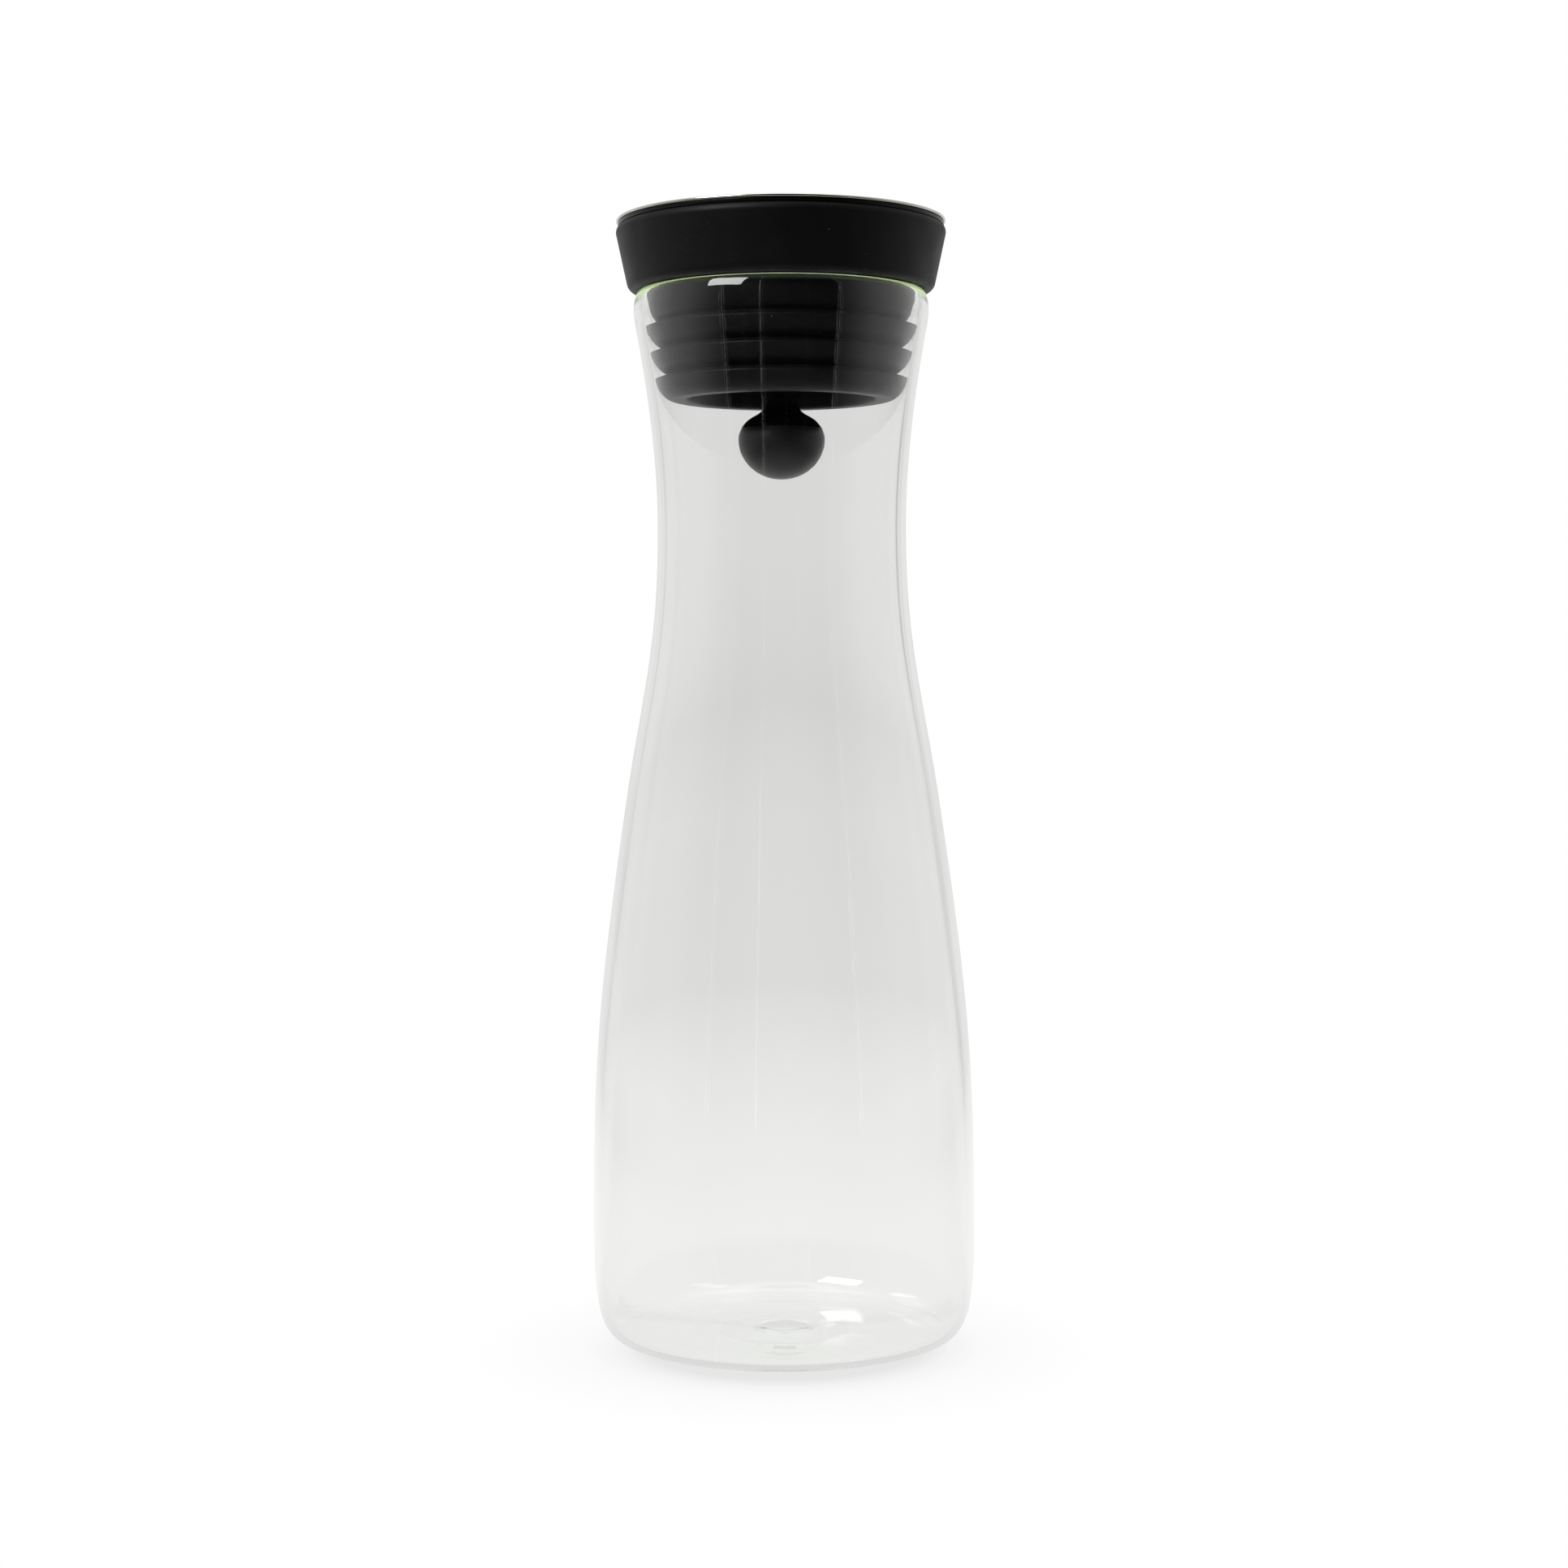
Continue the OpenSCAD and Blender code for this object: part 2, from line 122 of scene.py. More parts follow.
def curve(a: Point, b: Point, c: Point, d: Point, steps: int) -> Outline:
    """Points of a cubic curve.

    Args:
        a: Where it starts.
        b: The point that it leaves towards.
        c: The point that it arrives from.
        d: Where it ends.
        steps: Number of straight steps.

    Returns:
        The points from a to d, both included.
    """
    points = []
    for i in range(steps + 1):
        t = i / steps
        s = 1 - t
        points.append(tuple(s * s * s * a[k] + 3 * s * s * t * b[k] + 3 * s * t * t * c[k]
                            + t * t * t * d[k] for k in (0, 1)))
    return points


def arc(middle: Point, radii: Point, start: float, end: float, steps: int) -> Outline:
    """Points of an arc round a middle, from one angle in degrees to another.

    Args:
        middle: Middle of the arc.
        radii: Its half width and half height.
        start: Angle of its first point.
        end: Angle of its last point.
        steps: Number of straight steps.

    Returns:
        The points of the arc, both ends included.
    """
    angles = [math.radians(start + (end - start) * i / steps) for i in range(steps + 1)]
    return [(middle[0] + radii[0] * math.cos(a), middle[1] + radii[1] * math.sin(a)) for a in angles]


def radius_at(outline: Outline, height: float) -> float:
    """Radius of a rising outline at a height.

    Args:
        outline: The outline.
        height: A height between its ends.

    Returns:
        The radius there.
    """
    for low, high in zip(outline, outline[1:]):
        if low[1] <= height <= high[1]:
            return between(low, high, (height - low[1]) / (high[1] - low[1]))[0]
    raise ValueError(f"no point of the outline lies at {height}")


def resampled(points: Outline, spacing: float) -> Outline:
    """The same outline with its points evenly apart.

    Args:
        points: The outline.
        spacing: About the distance between its new points.

    Returns:
        The new points, both ends included.
    """
    total = sum(distance(a, b) for a, b in zip(points, points[1:]))
    count = max(2, round(total / spacing))
    step = total / count
    result, walked, goal = [points[0]], 0.0, step
    for a, b in zip(points, points[1:]):
        length = distance(a, b)
        while goal <= walked + length + TINY and len(result) < count:
            result.append(between(a, b, (goal - walked) / length))
            goal += step
        walked += length
    result.append(points[-1])
    return result


def softened(points: Outline, softness: float) -> Outline:
    """An open outline with its corners rounded as moulding or polishing rounds them.

    Args:
        points: The sharp outline, whose ends stay where they are.
        softness: About the radius that a right-angled corner gets.

    Returns:
        The rounded outline, with points close together in its bends and far apart between them.
    """
    dense = resampled(points, softness / SOFT_POINTS)
    weights = [math.exp(-0.5 * (k / SOFT_SPREAD) ** 2)
               for k in range(-SOFT_NEIGHBOURS, SOFT_NEIGHBOURS + 1)]
    smooth = []
    for i in range(len(dense)):
        near = min(SOFT_NEIGHBOURS, i, len(dense) - 1 - i)
        window = weights[SOFT_NEIGHBOURS - near:SOFT_NEIGHBOURS + near + 1]
        total = sum(window)
        smooth.append(tuple(sum(w * dense[i + k - near][axis] for k, w in enumerate(window)) / total
                            for axis in (0, 1)))
    return propped(thinned(smooth, softness / SOFT_FLATNESS), softness)


def thinned(points: Outline, tolerance: float) -> Outline:
    """The outline without the points that lie on a straight line.

    Args:
        points: The outline.
        tolerance: How far from the line such a point may lie.

    Returns:
        The points that are left, both ends included.
    """
    if len(points) < 3:
        return points
    (ax, ay), (bx, by) = points[0], points[-1]
    length = distance(points[0], points[-1])

    def away(p: Point) -> float:
        """Distance of a point from the line between the ends, or from both ends where they meet."""
        off = (bx - ax) * (ay - p[1]) - (ax - p[0]) * (by - ay)
        return distance(points[0], p) if length < TINY else abs(off) / length

    far = max(range(1, len(points) - 1), key=lambda i: away(points[i]))
    if away(points[far]) <= tolerance:
        return [points[0], points[-1]]
    return thinned(points[:far + 1], tolerance)[:-1] + thinned(points[far:], tolerance)


def propped(points: Outline, reach: float) -> Outline:
    """The outline with props on its long straight stretches, so that they shade flat.

    Args:
        points: The outline.
        reach: How far from each end of a long stretch its props stand.

    Returns:
        The points with the props among them.
    """
    result = [points[0]]
    for a, b in zip(points, points[1:]):
        length = distance(a, b)
        if length > LONG_STRETCH * reach:
            result += [between(a, b, share) for share in (reach / length, 1 - reach / length)]
        result.append(b)
    return result


def closed(points: Outline) -> Outline:
    """A ring's outline that ends where it starts, halfway along its first stretch, clear of corners."""
    start = tuple((points[0][k] + points[1][k]) / 2 for k in (0, 1))
    return [start] + points[1:] + [points[0], start]


# Modelling

# Points this close together, in metres, are merged
WELD = 0.0005 * MM


def deselect() -> None:
    """Leave nothing selected."""
    if bpy.context.object is not None and bpy.context.object.mode != "OBJECT":
        bpy.ops.object.mode_set(mode="OBJECT")
    bpy.ops.object.select_all(action="DESELECT")


def pick(piece: Piece) -> None:
    """Select one piece alone and make it the active one.

    Args:
        piece: The piece.
    """
    deselect()
    piece.select_set(True)
    bpy.context.view_layer.objects.active = piece


def named(piece: Piece, name: str) -> Piece:
    """The piece, with its object and its mesh named alike."""
    piece.name = piece.data.name = name
    return piece


def shade(sharp: float) -> None:
    """Shade the active piece smooth, but for edges from an angle in degrees."""
    bpy.ops.object.shade_smooth_by_angle(angle=math.radians(sharp))


def weld() -> None:
    """Merge the points of the edited mesh that lie in one place, and leave all of it selected."""
    bpy.ops.mesh.select_all(action="SELECT")
    bpy.ops.mesh.remove_doubles(threshold=WELD)
    bpy.ops.mesh.select_all(action="SELECT")


def turned(name: str, outline: Outline, steps: int = 144, sharp: float = 60) -> Piece:
    """A piece turned round the Z axis, as on a lathe.

    Args:
        name: Name of the piece.
        outline: Its outline, from one place on the axis to another, or closed.
        steps: Number of flats in a full turn.
        sharp: Angle in degrees from which an edge stays sharp.

    Returns:
        The new object, at the origin.
    """
    deselect()
    bpy.ops.mesh.primitive_plane_add(size=MM)
    piece = named(bpy.context.object, name)
    bpy.ops.object.mode_set(mode="EDIT")
    bpy.ops.mesh.select_all(action="SELECT")
    bpy.ops.mesh.merge(type="CENTER")
    bpy.ops.transform.translate(value=(outline[0][0] * MM, 0, outline[0][1] * MM))
    for (r0, z0), (r1, z1) in zip(outline, outline[1:]):
        bpy.ops.mesh.extrude_region_move(
            TRANSFORM_OT_translate={"value": ((r1 - r0) * MM, 0, (z1 - z0) * MM)})
    weld()
    bpy.ops.mesh.spin(steps=steps, angle=math.tau, center=(0, 0, 0), axis=(0, 0, 1))
    weld()
    bpy.ops.mesh.normals_make_consistent(inside=False)
    bpy.ops.object.mode_set(mode="OBJECT")
    shade(sharp)
    return piece


def bar(name: str, low: Vector, high: Vector) -> Piece:
    """A plain bar, to be fused to a turned piece.

    Args:
        name: Name of the bar.
        low: Its lowest, nearest and leftmost corner.
        high: The corner across from it.

    Returns:
        The new object, at the origin.
    """
    deselect()
    bpy.ops.mesh.primitive_cube_add(size=1)
    piece = named(bpy.context.object, name)
    bpy.ops.object.mode_set(mode="EDIT")
    bpy.ops.mesh.select_all(action="SELECT")
    bpy.ops.transform.resize(value=(high - low) * MM)
    bpy.ops.transform.translate(value=(high + low) / 2 * MM)
    bpy.ops.object.mode_set(mode="OBJECT")
    return piece


def fuse(piece: Piece, other: Piece) -> None:
    """Fuse another piece into one, and remove the other.

    Args:
        piece: The piece that stays.
        other: The piece that becomes part of it.
    """
    pick(piece)
    step = piece.modifiers.new("Fuse", "BOOLEAN")
    step.operation = "UNION"
    step.solver = "EXACT"
    step.object = other
    bpy.ops.object.modifier_apply(modifier=step.name)
    bpy.data.objects.remove(other, do_unlink=True)


def ease(piece: Piece, width: float, sharp: float = 40) -> None:
    """Ease the sharp edges of a piece by a small bevel.

    Args:
        piece: The piece.
        width: Width of the bevel.
        sharp: Angle in degrees from which an edge counts as sharp.
    """
    pick(piece)
    step = piece.modifiers.new("Ease", "BEVEL")
    step.width = width * MM
    step.segments = 2
    step.limit_method = "ANGLE"
    step.angle_limit = math.radians(sharp)
    step.harden_normals = False
    bpy.ops.object.modifier_apply(modifier=step.name)
    shade(sharp)


# Finishes

# Where most values of a soft random pattern lie
MIDDLE = (0.3, 0.7)
MM_PER_METRE = 1000.0


def grey(level: float) -> Colour:
    """A neutral colour."""
    return level, level, level, 1.0


@dataclass
class Bench:
    """Adds and joins the nodes of one material or of the world."""

    tree: bpy.types.NodeTree

    def add(self, kind: str, inputs: dict[str | int, object] | None = None, **settings: object) -> Node:
        """A new node.

        Args:
            kind: Its type.
            inputs: For each input by name or number, a plain value or an output to link it to.
            settings: Values of its settings.

        Returns:
            The node.
        """
        node = self.tree.nodes.new(kind)
        for name, value in settings.items():
            setattr(node, name, value)
        for name, value in (inputs or {}).items():
            if isinstance(value, Socket):
                self.tree.links.new(value, node.inputs[name])
            else:
                node.inputs[name].default_value = value
        return node

    def here(self) -> Socket:
        """The place on the piece, in metres."""
        return self.add("ShaderNodeTexCoord").outputs["Object"]

    def place(self, scale: Triple) -> Socket:
        """The place on the piece, in metres times a scale along each axis."""
        return self.add("ShaderNodeMapping", {"Vector": self.here(), "Scale": scale}).outputs["Vector"]

    def parts(self, way: Socket) -> Node:
        """The node that splits a place or a direction into X, Y and Z."""
        return self.add("ShaderNodeSeparateXYZ", {"Vector": way})

    def across(self, parts: Node) -> Socket:
        """How far a place lies from the Z axis, from its parts."""
        squares = [self.math("MULTIPLY", parts.outputs[axis], parts.outputs[axis]) for axis in "XY"]
        return self.math("SQRT", self.math("ADD", *squares))

    def away(self, where: Socket, middle: Triple) -> Socket:
        """The distance of a place from a middle."""
        return self.add("ShaderNodeVectorMath", {0: where, 1: middle}, operation="DISTANCE").outputs["Value"]

    def noise(self, where: Socket, scale: float, detail: float = 2.0, roughness: float = 0.5) -> Socket:
        """A soft random pattern between 0 and 1."""
        return self.add("ShaderNodeTexNoise", {"Vector": where, "Scale": scale, "Detail": detail,
                                               "Roughness": roughness}).outputs["Fac"]

    def math(self, operation: str, a: object, b: object = 0.0) -> Socket:
        """The result of a sum or other operation on two values."""
        return self.add("ShaderNodeMath", {0: a, 1: b}, operation=operation).outputs[0]

    def ranged(self, value: Socket, source: Point, target: Point = (0.0, 1.0),
               smooth: bool = False) -> Socket:
        """A value carried over from one range to another, and held at its ends.

        Args:
            value: The value.
            source: The range that it comes from.
            target: The range that it goes to.
            smooth: Whether it starts and ends softly.

        Returns:
            The new value.
        """
        ends = dict(zip(("From Min", "From Max", "To Min", "To Max"), source + target))
        steps = "SMOOTHSTEP" if smooth else "LINEAR"
        return self.add("ShaderNodeMapRange", {"Value": value, **ends},
                        interpolation_type=steps).outputs["Result"]

    def blended(self, share: object, a: object, b: object) -> Socket:
        """A colour between two, or between a colour and a pattern."""
        return self.add("ShaderNodeMix", {0: share, 6: a, 7: b}, data_type="RGBA").outputs[2]

    def ramp(self, value: Socket, stops: list[Point]) -> Socket:
        """A level of grey that depends on a value.

        Args:
            value: A value between 0 and 1.
            stops: Values and the levels of grey at them, in order.

        Returns:
            The level, as a colour.
        """
        node = self.add("ShaderNodeValToRGB", {"Fac": value})
        elements = node.color_ramp.elements
        while len(elements) > 1:
            elements.remove(elements[-1])
        for i, (position, level) in enumerate(stops):
            element = elements[0] if i == 0 else elements.new(position)
            element.position = position
            element.color = grey(level)
        return node.outputs["Color"]

    def bumped(self, height: Socket, depth: float, strength: float, under: Socket | None = None) -> Socket:
        """A surface direction shaken by a pattern.

        Args:
            height: The pattern.
            depth: Its depth in millimetres.
            strength: The share of it that shows.
            under: A surface direction that it is laid over.

        Returns:
            The new direction.
        """
        inputs = {"Strength": strength, "Distance": depth * MM, "Height": height}
        if under is not None:
            inputs["Normal"] = under
        return self.add("ShaderNodeBump", inputs).outputs["Normal"]

    def choice(self, second: Socket, a: Node, b: Node) -> Node:
        """The first shader, or the second one where a value is 1."""
        return self.add("ShaderNodeMixShader", {0: second, 1: a.outputs[0], 2: b.outputs[0]})

    def show(self, shader: Node) -> Node:
        """The output node of a material, with this shader on its surface."""
        return self.add("ShaderNodeOutputMaterial", {"Surface": shader.outputs[0]})


def blank_material(name: str) -> tuple[bpy.types.Material, Bench]:
    """A new material without nodes.

    Args:
        name: Name of the material.

    Returns:
        The material and a bench for its nodes.
    """
    material = bpy.data.materials.new(name)
    material.use_nodes = True
    material.node_tree.nodes.clear()
    return material, Bench(material.node_tree)


@dataclass(frozen=True)
class ClearGlass:
    """Clear blown glass, with soft waves all over and faint upright draw streaks above its heel.

    The heel is given by the heights in metres at which the streaks start and are full.
    """

    colour: Colour = (0.994, 0.998, 0.993, 1.0)
    depth_colour: Colour = (0.78, 0.94, 0.45, 1.0)
    density: float = 3.0
    bending: float = 1.47
    streak_stretch: Triple = (1.0, 1.0, 0.004)
    streak_scale: float = 1000.0
    streak_depth: float = 0.010
    heel: Point = (0.02, 0.06)
    wave_stretch: Triple = (1.0, 1.0, 0.25)
    wave_scale: float = 45.0
    wave_depth: float = 0.05
    relief: float = 0.3
    lamp_share: float = 0.92

    def material(self) -> bpy.types.Material:
        """The glass, which lets a share of the lamps' light straight through."""
        material, bench = blank_material("clear_blown_glass")
        drawn = bench.ranged(bench.parts(bench.here()).outputs["Z"], self.heel, smooth=True)
        streaks = bench.noise(bench.place(self.streak_stretch), self.streak_scale, detail=1.0)
        waves = bench.noise(bench.place(self.wave_stretch), self.wave_scale, detail=1.0)
        shaken = bench.bumped(waves, self.wave_depth, self.relief)
        shaken = bench.bumped(bench.math("MULTIPLY", streaks, drawn), self.streak_depth, self.relief, shaken)
        glass = bench.add("ShaderNodeBsdfPrincipled", {
            "Base Color": self.colour, "Roughness": 0.0, "IOR": self.bending,
            "Transmission Weight": 1.0, "Normal": shaken})
        clear = bench.add("ShaderNodeBsdfTransparent", {"Color": grey(self.lamp_share)})
        path = bench.add("ShaderNodeLightPath")
        out = bench.show(bench.choice(path.outputs["Is Shadow Ray"], glass, clear))
        depth = bench.add("ShaderNodeVolumeAbsorption",
                          {"Color": self.depth_colour, "Density": self.density})
        bench.tree.links.new(depth.outputs["Volume"], out.inputs["Volume"])
        return material


@dataclass(frozen=True)
class BlackMoulding:
    """A black moulded surface: silicone, plastic or soft coat.

    Grain is the size of its texture in millimetres, dust the share of its places for a speck of
    dust that have one, and scuffs the level of grey of its fine scuffs. A scale is for a pattern
    on millimetres, and an edge is the range in which a mark goes from full to nothing.
    """

    name: str
    colour: Colour
    roughness: float
    grain: float
    grain_depth: float
    shine: float
    dust: float = 0.0
    scuffs: float = 0.0
    darkest: float = 0.8
    palest: float = 1.25
    roughness_spread: float = 0.05
    cloud_scale: float = 0.12
    relief: float = 0.5
    scuff_scale: float = 0.35
    scuff_edge: Point = (0.0, 0.02)
    scuffed_scale: float = 0.07
    scuffed_edge: Point = (0.75, 0.6)
    speck_scale: float = 0.45
    speck_edge: Point = (0.03, 0.07)
    speck_colour: Colour = (0.2, 0.21, 0.19, 1.0)

    def material(self) -> bpy.types.Material:
        """The moulding's material."""
        material, bench = blank_material(self.name)
        where = bench.place((MM_PER_METRE, MM_PER_METRE, MM_PER_METRE))
        cloud = bench.noise(where, self.cloud_scale, detail=3.0)
        fine = bench.noise(where, 1 / self.grain)
        colour = bench.blended(cloud, self.times(self.darkest), self.times(self.palest))
        if self.scuffs > 0:
            colour = bench.blended(self.curls(bench, where), colour, grey(self.scuffs))
        if self.dust > 0:
            colour = bench.blended(self.specks(bench, where), colour, self.speck_colour)
        spread = (self.roughness - self.roughness_spread, self.roughness + self.roughness_spread)
        bench.show(bench.add("ShaderNodeBsdfPrincipled", {
            "Base Color": colour, "Roughness": bench.ranged(cloud, MIDDLE, spread),
            "Specular IOR Level": self.shine,
            "Normal": bench.bumped(fine, self.grain_depth, self.relief)}))
        return material

    def times(self, factor: float) -> Colour:
        """The moulding's colour, made darker or paler."""
        return tuple(factor * c for c in self.colour[:3]) + (1.0,)

    def curls(self, bench: Bench, where: Socket) -> Socket:
        """Fine curled scuffs, in a few places only.

        Args:
            bench: The bench of the material.
            where: The place on the piece in millimetres.

        Returns:
            A value that is 1 on a scuff and 0 elsewhere.
        """
        swirl = bench.math("SUBTRACT", bench.noise(where, self.scuff_scale), 0.5)
        line = bench.ranged(bench.math("ABSOLUTE", swirl), self.scuff_edge, (1.0, 0.0))
        chosen = bench.ranged(bench.noise(where, self.scuffed_scale, detail=1.0), self.scuffed_edge[::-1])
        return bench.math("MULTIPLY", line, chosen)

    def specks(self, bench: Bench, where: Socket) -> Socket:
        """Specks of dust, about a tenth of a millimetre across, in a few of many cells.

        Args:
            bench: The bench of the material.
            where: The place on the piece in millimetres.

        Returns:
            A value that is 1 on a speck and 0 elsewhere.
        """
        cells = bench.add("ShaderNodeTexVoronoi", {"Vector": where, "Scale": self.speck_scale})
        near = bench.ranged(cells.outputs["Distance"], self.speck_edge, (1.0, 0.0))
        drawn = bench.add("ShaderNodeSeparateColor", {"Color": cells.outputs["Color"]})
        return bench.math("MULTIPLY", near, bench.math("LESS_THAN", drawn.outputs["Red"], self.dust))


@dataclass(frozen=True)
class Steel:
    """Stainless steel, with fine brushing round the axis."""

    name: str
    colour: Colour
    roughness: float
    brushing: float
    ring_scale: float = 6.0
    ring_roughness: float = 0.7
    smoothest: float = 0.8
    roughest: float = 1.25
    relief: float = 0.3

    def material(self) -> bpy.types.Material:
        """The steel's material."""
        material, bench = blank_material(self.name)
        parts = bench.parts(bench.here())
        where = bench.add("ShaderNodeCombineXYZ", {
            "X": bench.math("MULTIPLY", bench.across(parts), MM_PER_METRE),
            "Z": bench.math("MULTIPLY", parts.outputs["Z"], MM_PER_METRE)})
        rings = bench.noise(where.outputs["Vector"], self.ring_scale, 4.0, self.ring_roughness)
        spread = (self.roughness * self.smoothest, self.roughness * self.roughest)
        bench.show(bench.add("ShaderNodeBsdfPrincipled", {
            "Metallic": 1.0, "Base Color": self.colour, "Roughness": bench.ranged(rings, MIDDLE, spread),
            "Normal": bench.bumped(rings, self.brushing, self.relief)}))
        return material


FINISHES = {
    Slot.GLASS: ClearGlass(),
    Slot.SILICONE: BlackMoulding("black_silicone", colour=(0.0026, 0.0026, 0.0029, 1.0), roughness=0.5,
                                 grain=0.25, grain_depth=0.0004, shine=0.17, dust=0.10, scuffs=0.012),
    Slot.PLASTIC: BlackMoulding("satin_black_plastic", colour=(0.002, 0.002, 0.0022, 1.0),
                                roughness=0.25, grain=0.3, grain_depth=0.001, shine=0.16),
    Slot.COAT: BlackMoulding("soft_black_coat", colour=(0.007, 0.007, 0.0071, 1.0), roughness=0.38,
                             grain=0.2, grain_depth=0.003, shine=0.36, dust=0.03),
    Slot.POLISHED: Steel("polished_steel_sheet", colour=(0.62, 0.61, 0.56, 1.0), roughness=0.16,
                         brushing=0.001),
    Slot.STEEL: Steel("turned_steel", colour=(0.56, 0.56, 0.57, 1.0), roughness=0.3, brushing=0.003),
}
Finishes = dict[Slot, bpy.types.Material]


def dressed(finishes: Finishes, body: Body, rows: list[tuple[Piece, Slot, str]]) -> list[Piece]:
    """Finish the new pieces of one body.

    Args:
        finishes: Every material, by its slot.
        body: What the pieces move with.
        rows: Each piece in its place, with its slot and the CAD node that it stands for.

    Returns:
        The pieces.
    """
    for piece, slot, node in rows:
        piece.data.materials.clear()
        piece.data.materials.append(finishes[slot])
        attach(piece, body.value)
        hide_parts(node)
    return [row[0] for row in rows]


# The carafe


@dataclass
class Glass:
    """The blown glass, with all its walls in one skin.

    A value named share or shares says how far along a wall, a rise or a reach a curve bends.
    """

    height: float = 260.0
    body_r: float = 47.5
    heel_h: float = 25.0
    body_h: float = 29.0
    shoulder: Point = (39.0, 134.0)
    neck: Point = (30.8, 202.0)
    lip: Point = (36.2, 252.5)
    foot_r: float = 36.0
    corner_r: float = 18.0
    corner_turn: float = 15.0
    body_wall: float = 2.0
    neck_wall: float = 2.6
    lip_wall: float = 2.1
    floor: float = 1.7
    floor_rise: float = 0.8
    punt: Point = (16.4, 0.5)
    drop: Point = (8.6, 1.4)
    shoulder_lean: float = -8.5
    lip_lean: float = 9.8
    side_shares: tuple[Point, ...] = ((0.364, 0.479), (0.4, 0.437), (0.441, 0.145))
    heel_shares: Point = (0.2, 0.28)
    inner_heel_shares: Point = (0.28, 0.12)
    rim_wide_shares: Point = (0.14, 0.42)
    rim_crown_share: float = 0.45
    rim_inner_shares: Point = (0.86, 0.7)
    rim_rise_share: float = 0.4
    rim_reach_share: float = 0.6

    def side(self, insets: tuple[float, float, float, float], steps: int = 60) -> Outline:
        """One side of the wall, from the body to below the rim.

        Args:
            insets: How far it lies inside the outer side at body, shoulder, neck and lip.
            steps: Number of steps of each of its three curves.

        Returns:
            Its points, rising.
        """
        places = [(self.body_r, self.body_h), self.shoulder, self.neck, self.lip]
        stations = [(r - inset, z) for (r, z), inset in zip(places, insets)]
        leans = (0.0, self.shoulder_lean, 0.0, self.lip_lean)
        points = [stations[0]]
        for i, (leave, arrive) in enumerate(self.side_shares):
            low, high = stations[i], stations[i + 1]
            rise = high[1] - low[1]
            points += curve(low, stepped(low, rise * leave, leans[i]),
                            stepped(high, -rise * arrive, leans[i + 1]), high, steps)[1:]
        return points

    def outer_side(self) -> Outline:
        """The outer side."""
        return self.side((0.0, 0.0, 0.0, 0.0))

    def inner_side(self) -> Outline:
        """The inner side."""
        middle = (self.body_wall + self.neck_wall) / 2
        return self.side((self.body_wall, middle, self.neck_wall, self.lip_wall))

    def outer_foot(self, steps: int = 24) -> Outline:
        """The hollow under the floor, the ring that the carafe stands on, and the heel.

        Args:
            steps: Number of steps of the hollow.

        Returns:
            Its points, from the axis outwards.
        """
        punt_r, punt_h = self.punt
        hollow = [(punt_r * i / steps, punt_h * mound(i / steps)) for i in range(steps + 1)]
        corner = arc((self.foot_r, self.corner_r), (self.corner_r, self.corner_r),
                     -90, self.corner_turn - 90, steps=10)
        turn = math.radians(self.corner_turn)
        leave_share, arrive_share = self.heel_shares
        leave = (corner[-1][0] + leave_share * self.heel_h * math.cos(turn),
                 corner[-1][1] + leave_share * self.heel_h * math.sin(turn))
        heel = curve(corner[-1], leave, (self.body_r, self.heel_h * arrive_share),
                     (self.body_r, self.heel_h), steps=30)
        return hollow + corner + heel[1:]

    def inner_foot(self, drop_steps: int = 20, floor_steps: int = 16) -> Outline:
        """The drop of glass in the middle of the floor, the floor and the inner heel.

        Args:
            drop_steps: Number of steps of the drop.
            floor_steps: Number of steps from the drop to the heel.

        Returns:
            Its points, from the axis outwards.
        """
        drop_r, drop_h = self.drop
        inner_r = self.body_r - self.body_wall

        def dome(r: float) -> Point:
            """A point of the floor, which rises gently towards the middle."""
            return r, self.floor + self.floor_rise * mound(r / self.foot_r)

        points = []
        for i in range(drop_steps + 1):
            r, z = dome(drop_r * i / drop_steps)
            points.append((r, z + drop_h * mound(i / drop_steps)))
        points += [dome(drop_r + (self.foot_r - drop_r) * i / floor_steps) for i in range(1, floor_steps)]
        leave_share, arrive_share = self.inner_heel_shares
        points += curve((self.foot_r, self.floor), (self.foot_r + self.heel_h * leave_share, self.floor),
                        (inner_r, self.heel_h * arrive_share), (inner_r, self.heel_h), steps=40)
        return points

    def rim(self) -> Outline:
        """The fire-polished rim, from the outer side over the crown to the inner side."""
        lip_r, lip_z = self.lip
        rise = self.height - lip_z
        out_share, wide_share = self.rim_wide_shares
        in_share, inner_share = self.rim_inner_shares
        wide = (lip_r + self.lip_wall * out_share, lip_z + rise * wide_share)
        crown = (lip_r - self.lip_wall * self.rim_crown_share, self.height)
        inner = (lip_r - self.lip_wall * in_share, lip_z + rise * inner_share)
        low = rise * wide_share * self.rim_rise_share
        first = curve(self.lip, stepped(self.lip, low, self.lip_lean), stepped(wide, -low, 0), wide,
                      steps=12)
        over = curve(wide, (wide[0], wide[1] + (self.height - wide[1]) * self.rim_rise_share),
                     (crown[0] + (wide[0] - crown[0]) * self.rim_reach_share, self.height), crown,
                     steps=20)
        down = curve(crown, (crown[0] - (crown[0] - inner[0]) * self.rim_reach_share, self.height),
                     (inner[0], inner[1] + (self.height - inner[1]) * self.rim_rise_share), inner,
                     steps=16)
        return first + over[1:] + down[1:]

    def build(self, finishes: Finishes) -> list[Piece]:
        """The carafe's glass.

        Args:
            finishes: Every material, by its slot.

        Returns:
            Its one piece.
        """
        outline = (self.outer_foot() + self.outer_side() + self.rim()[1:]
                   + self.inner_side()[::-1] + self.inner_foot()[::-1])
        piece = turned("glass_carafe", outline, steps=160, sharp=80)
        return dressed(finishes, Body.CARAFE, [(piece, Slot.GLASS, "carafe_glass")])


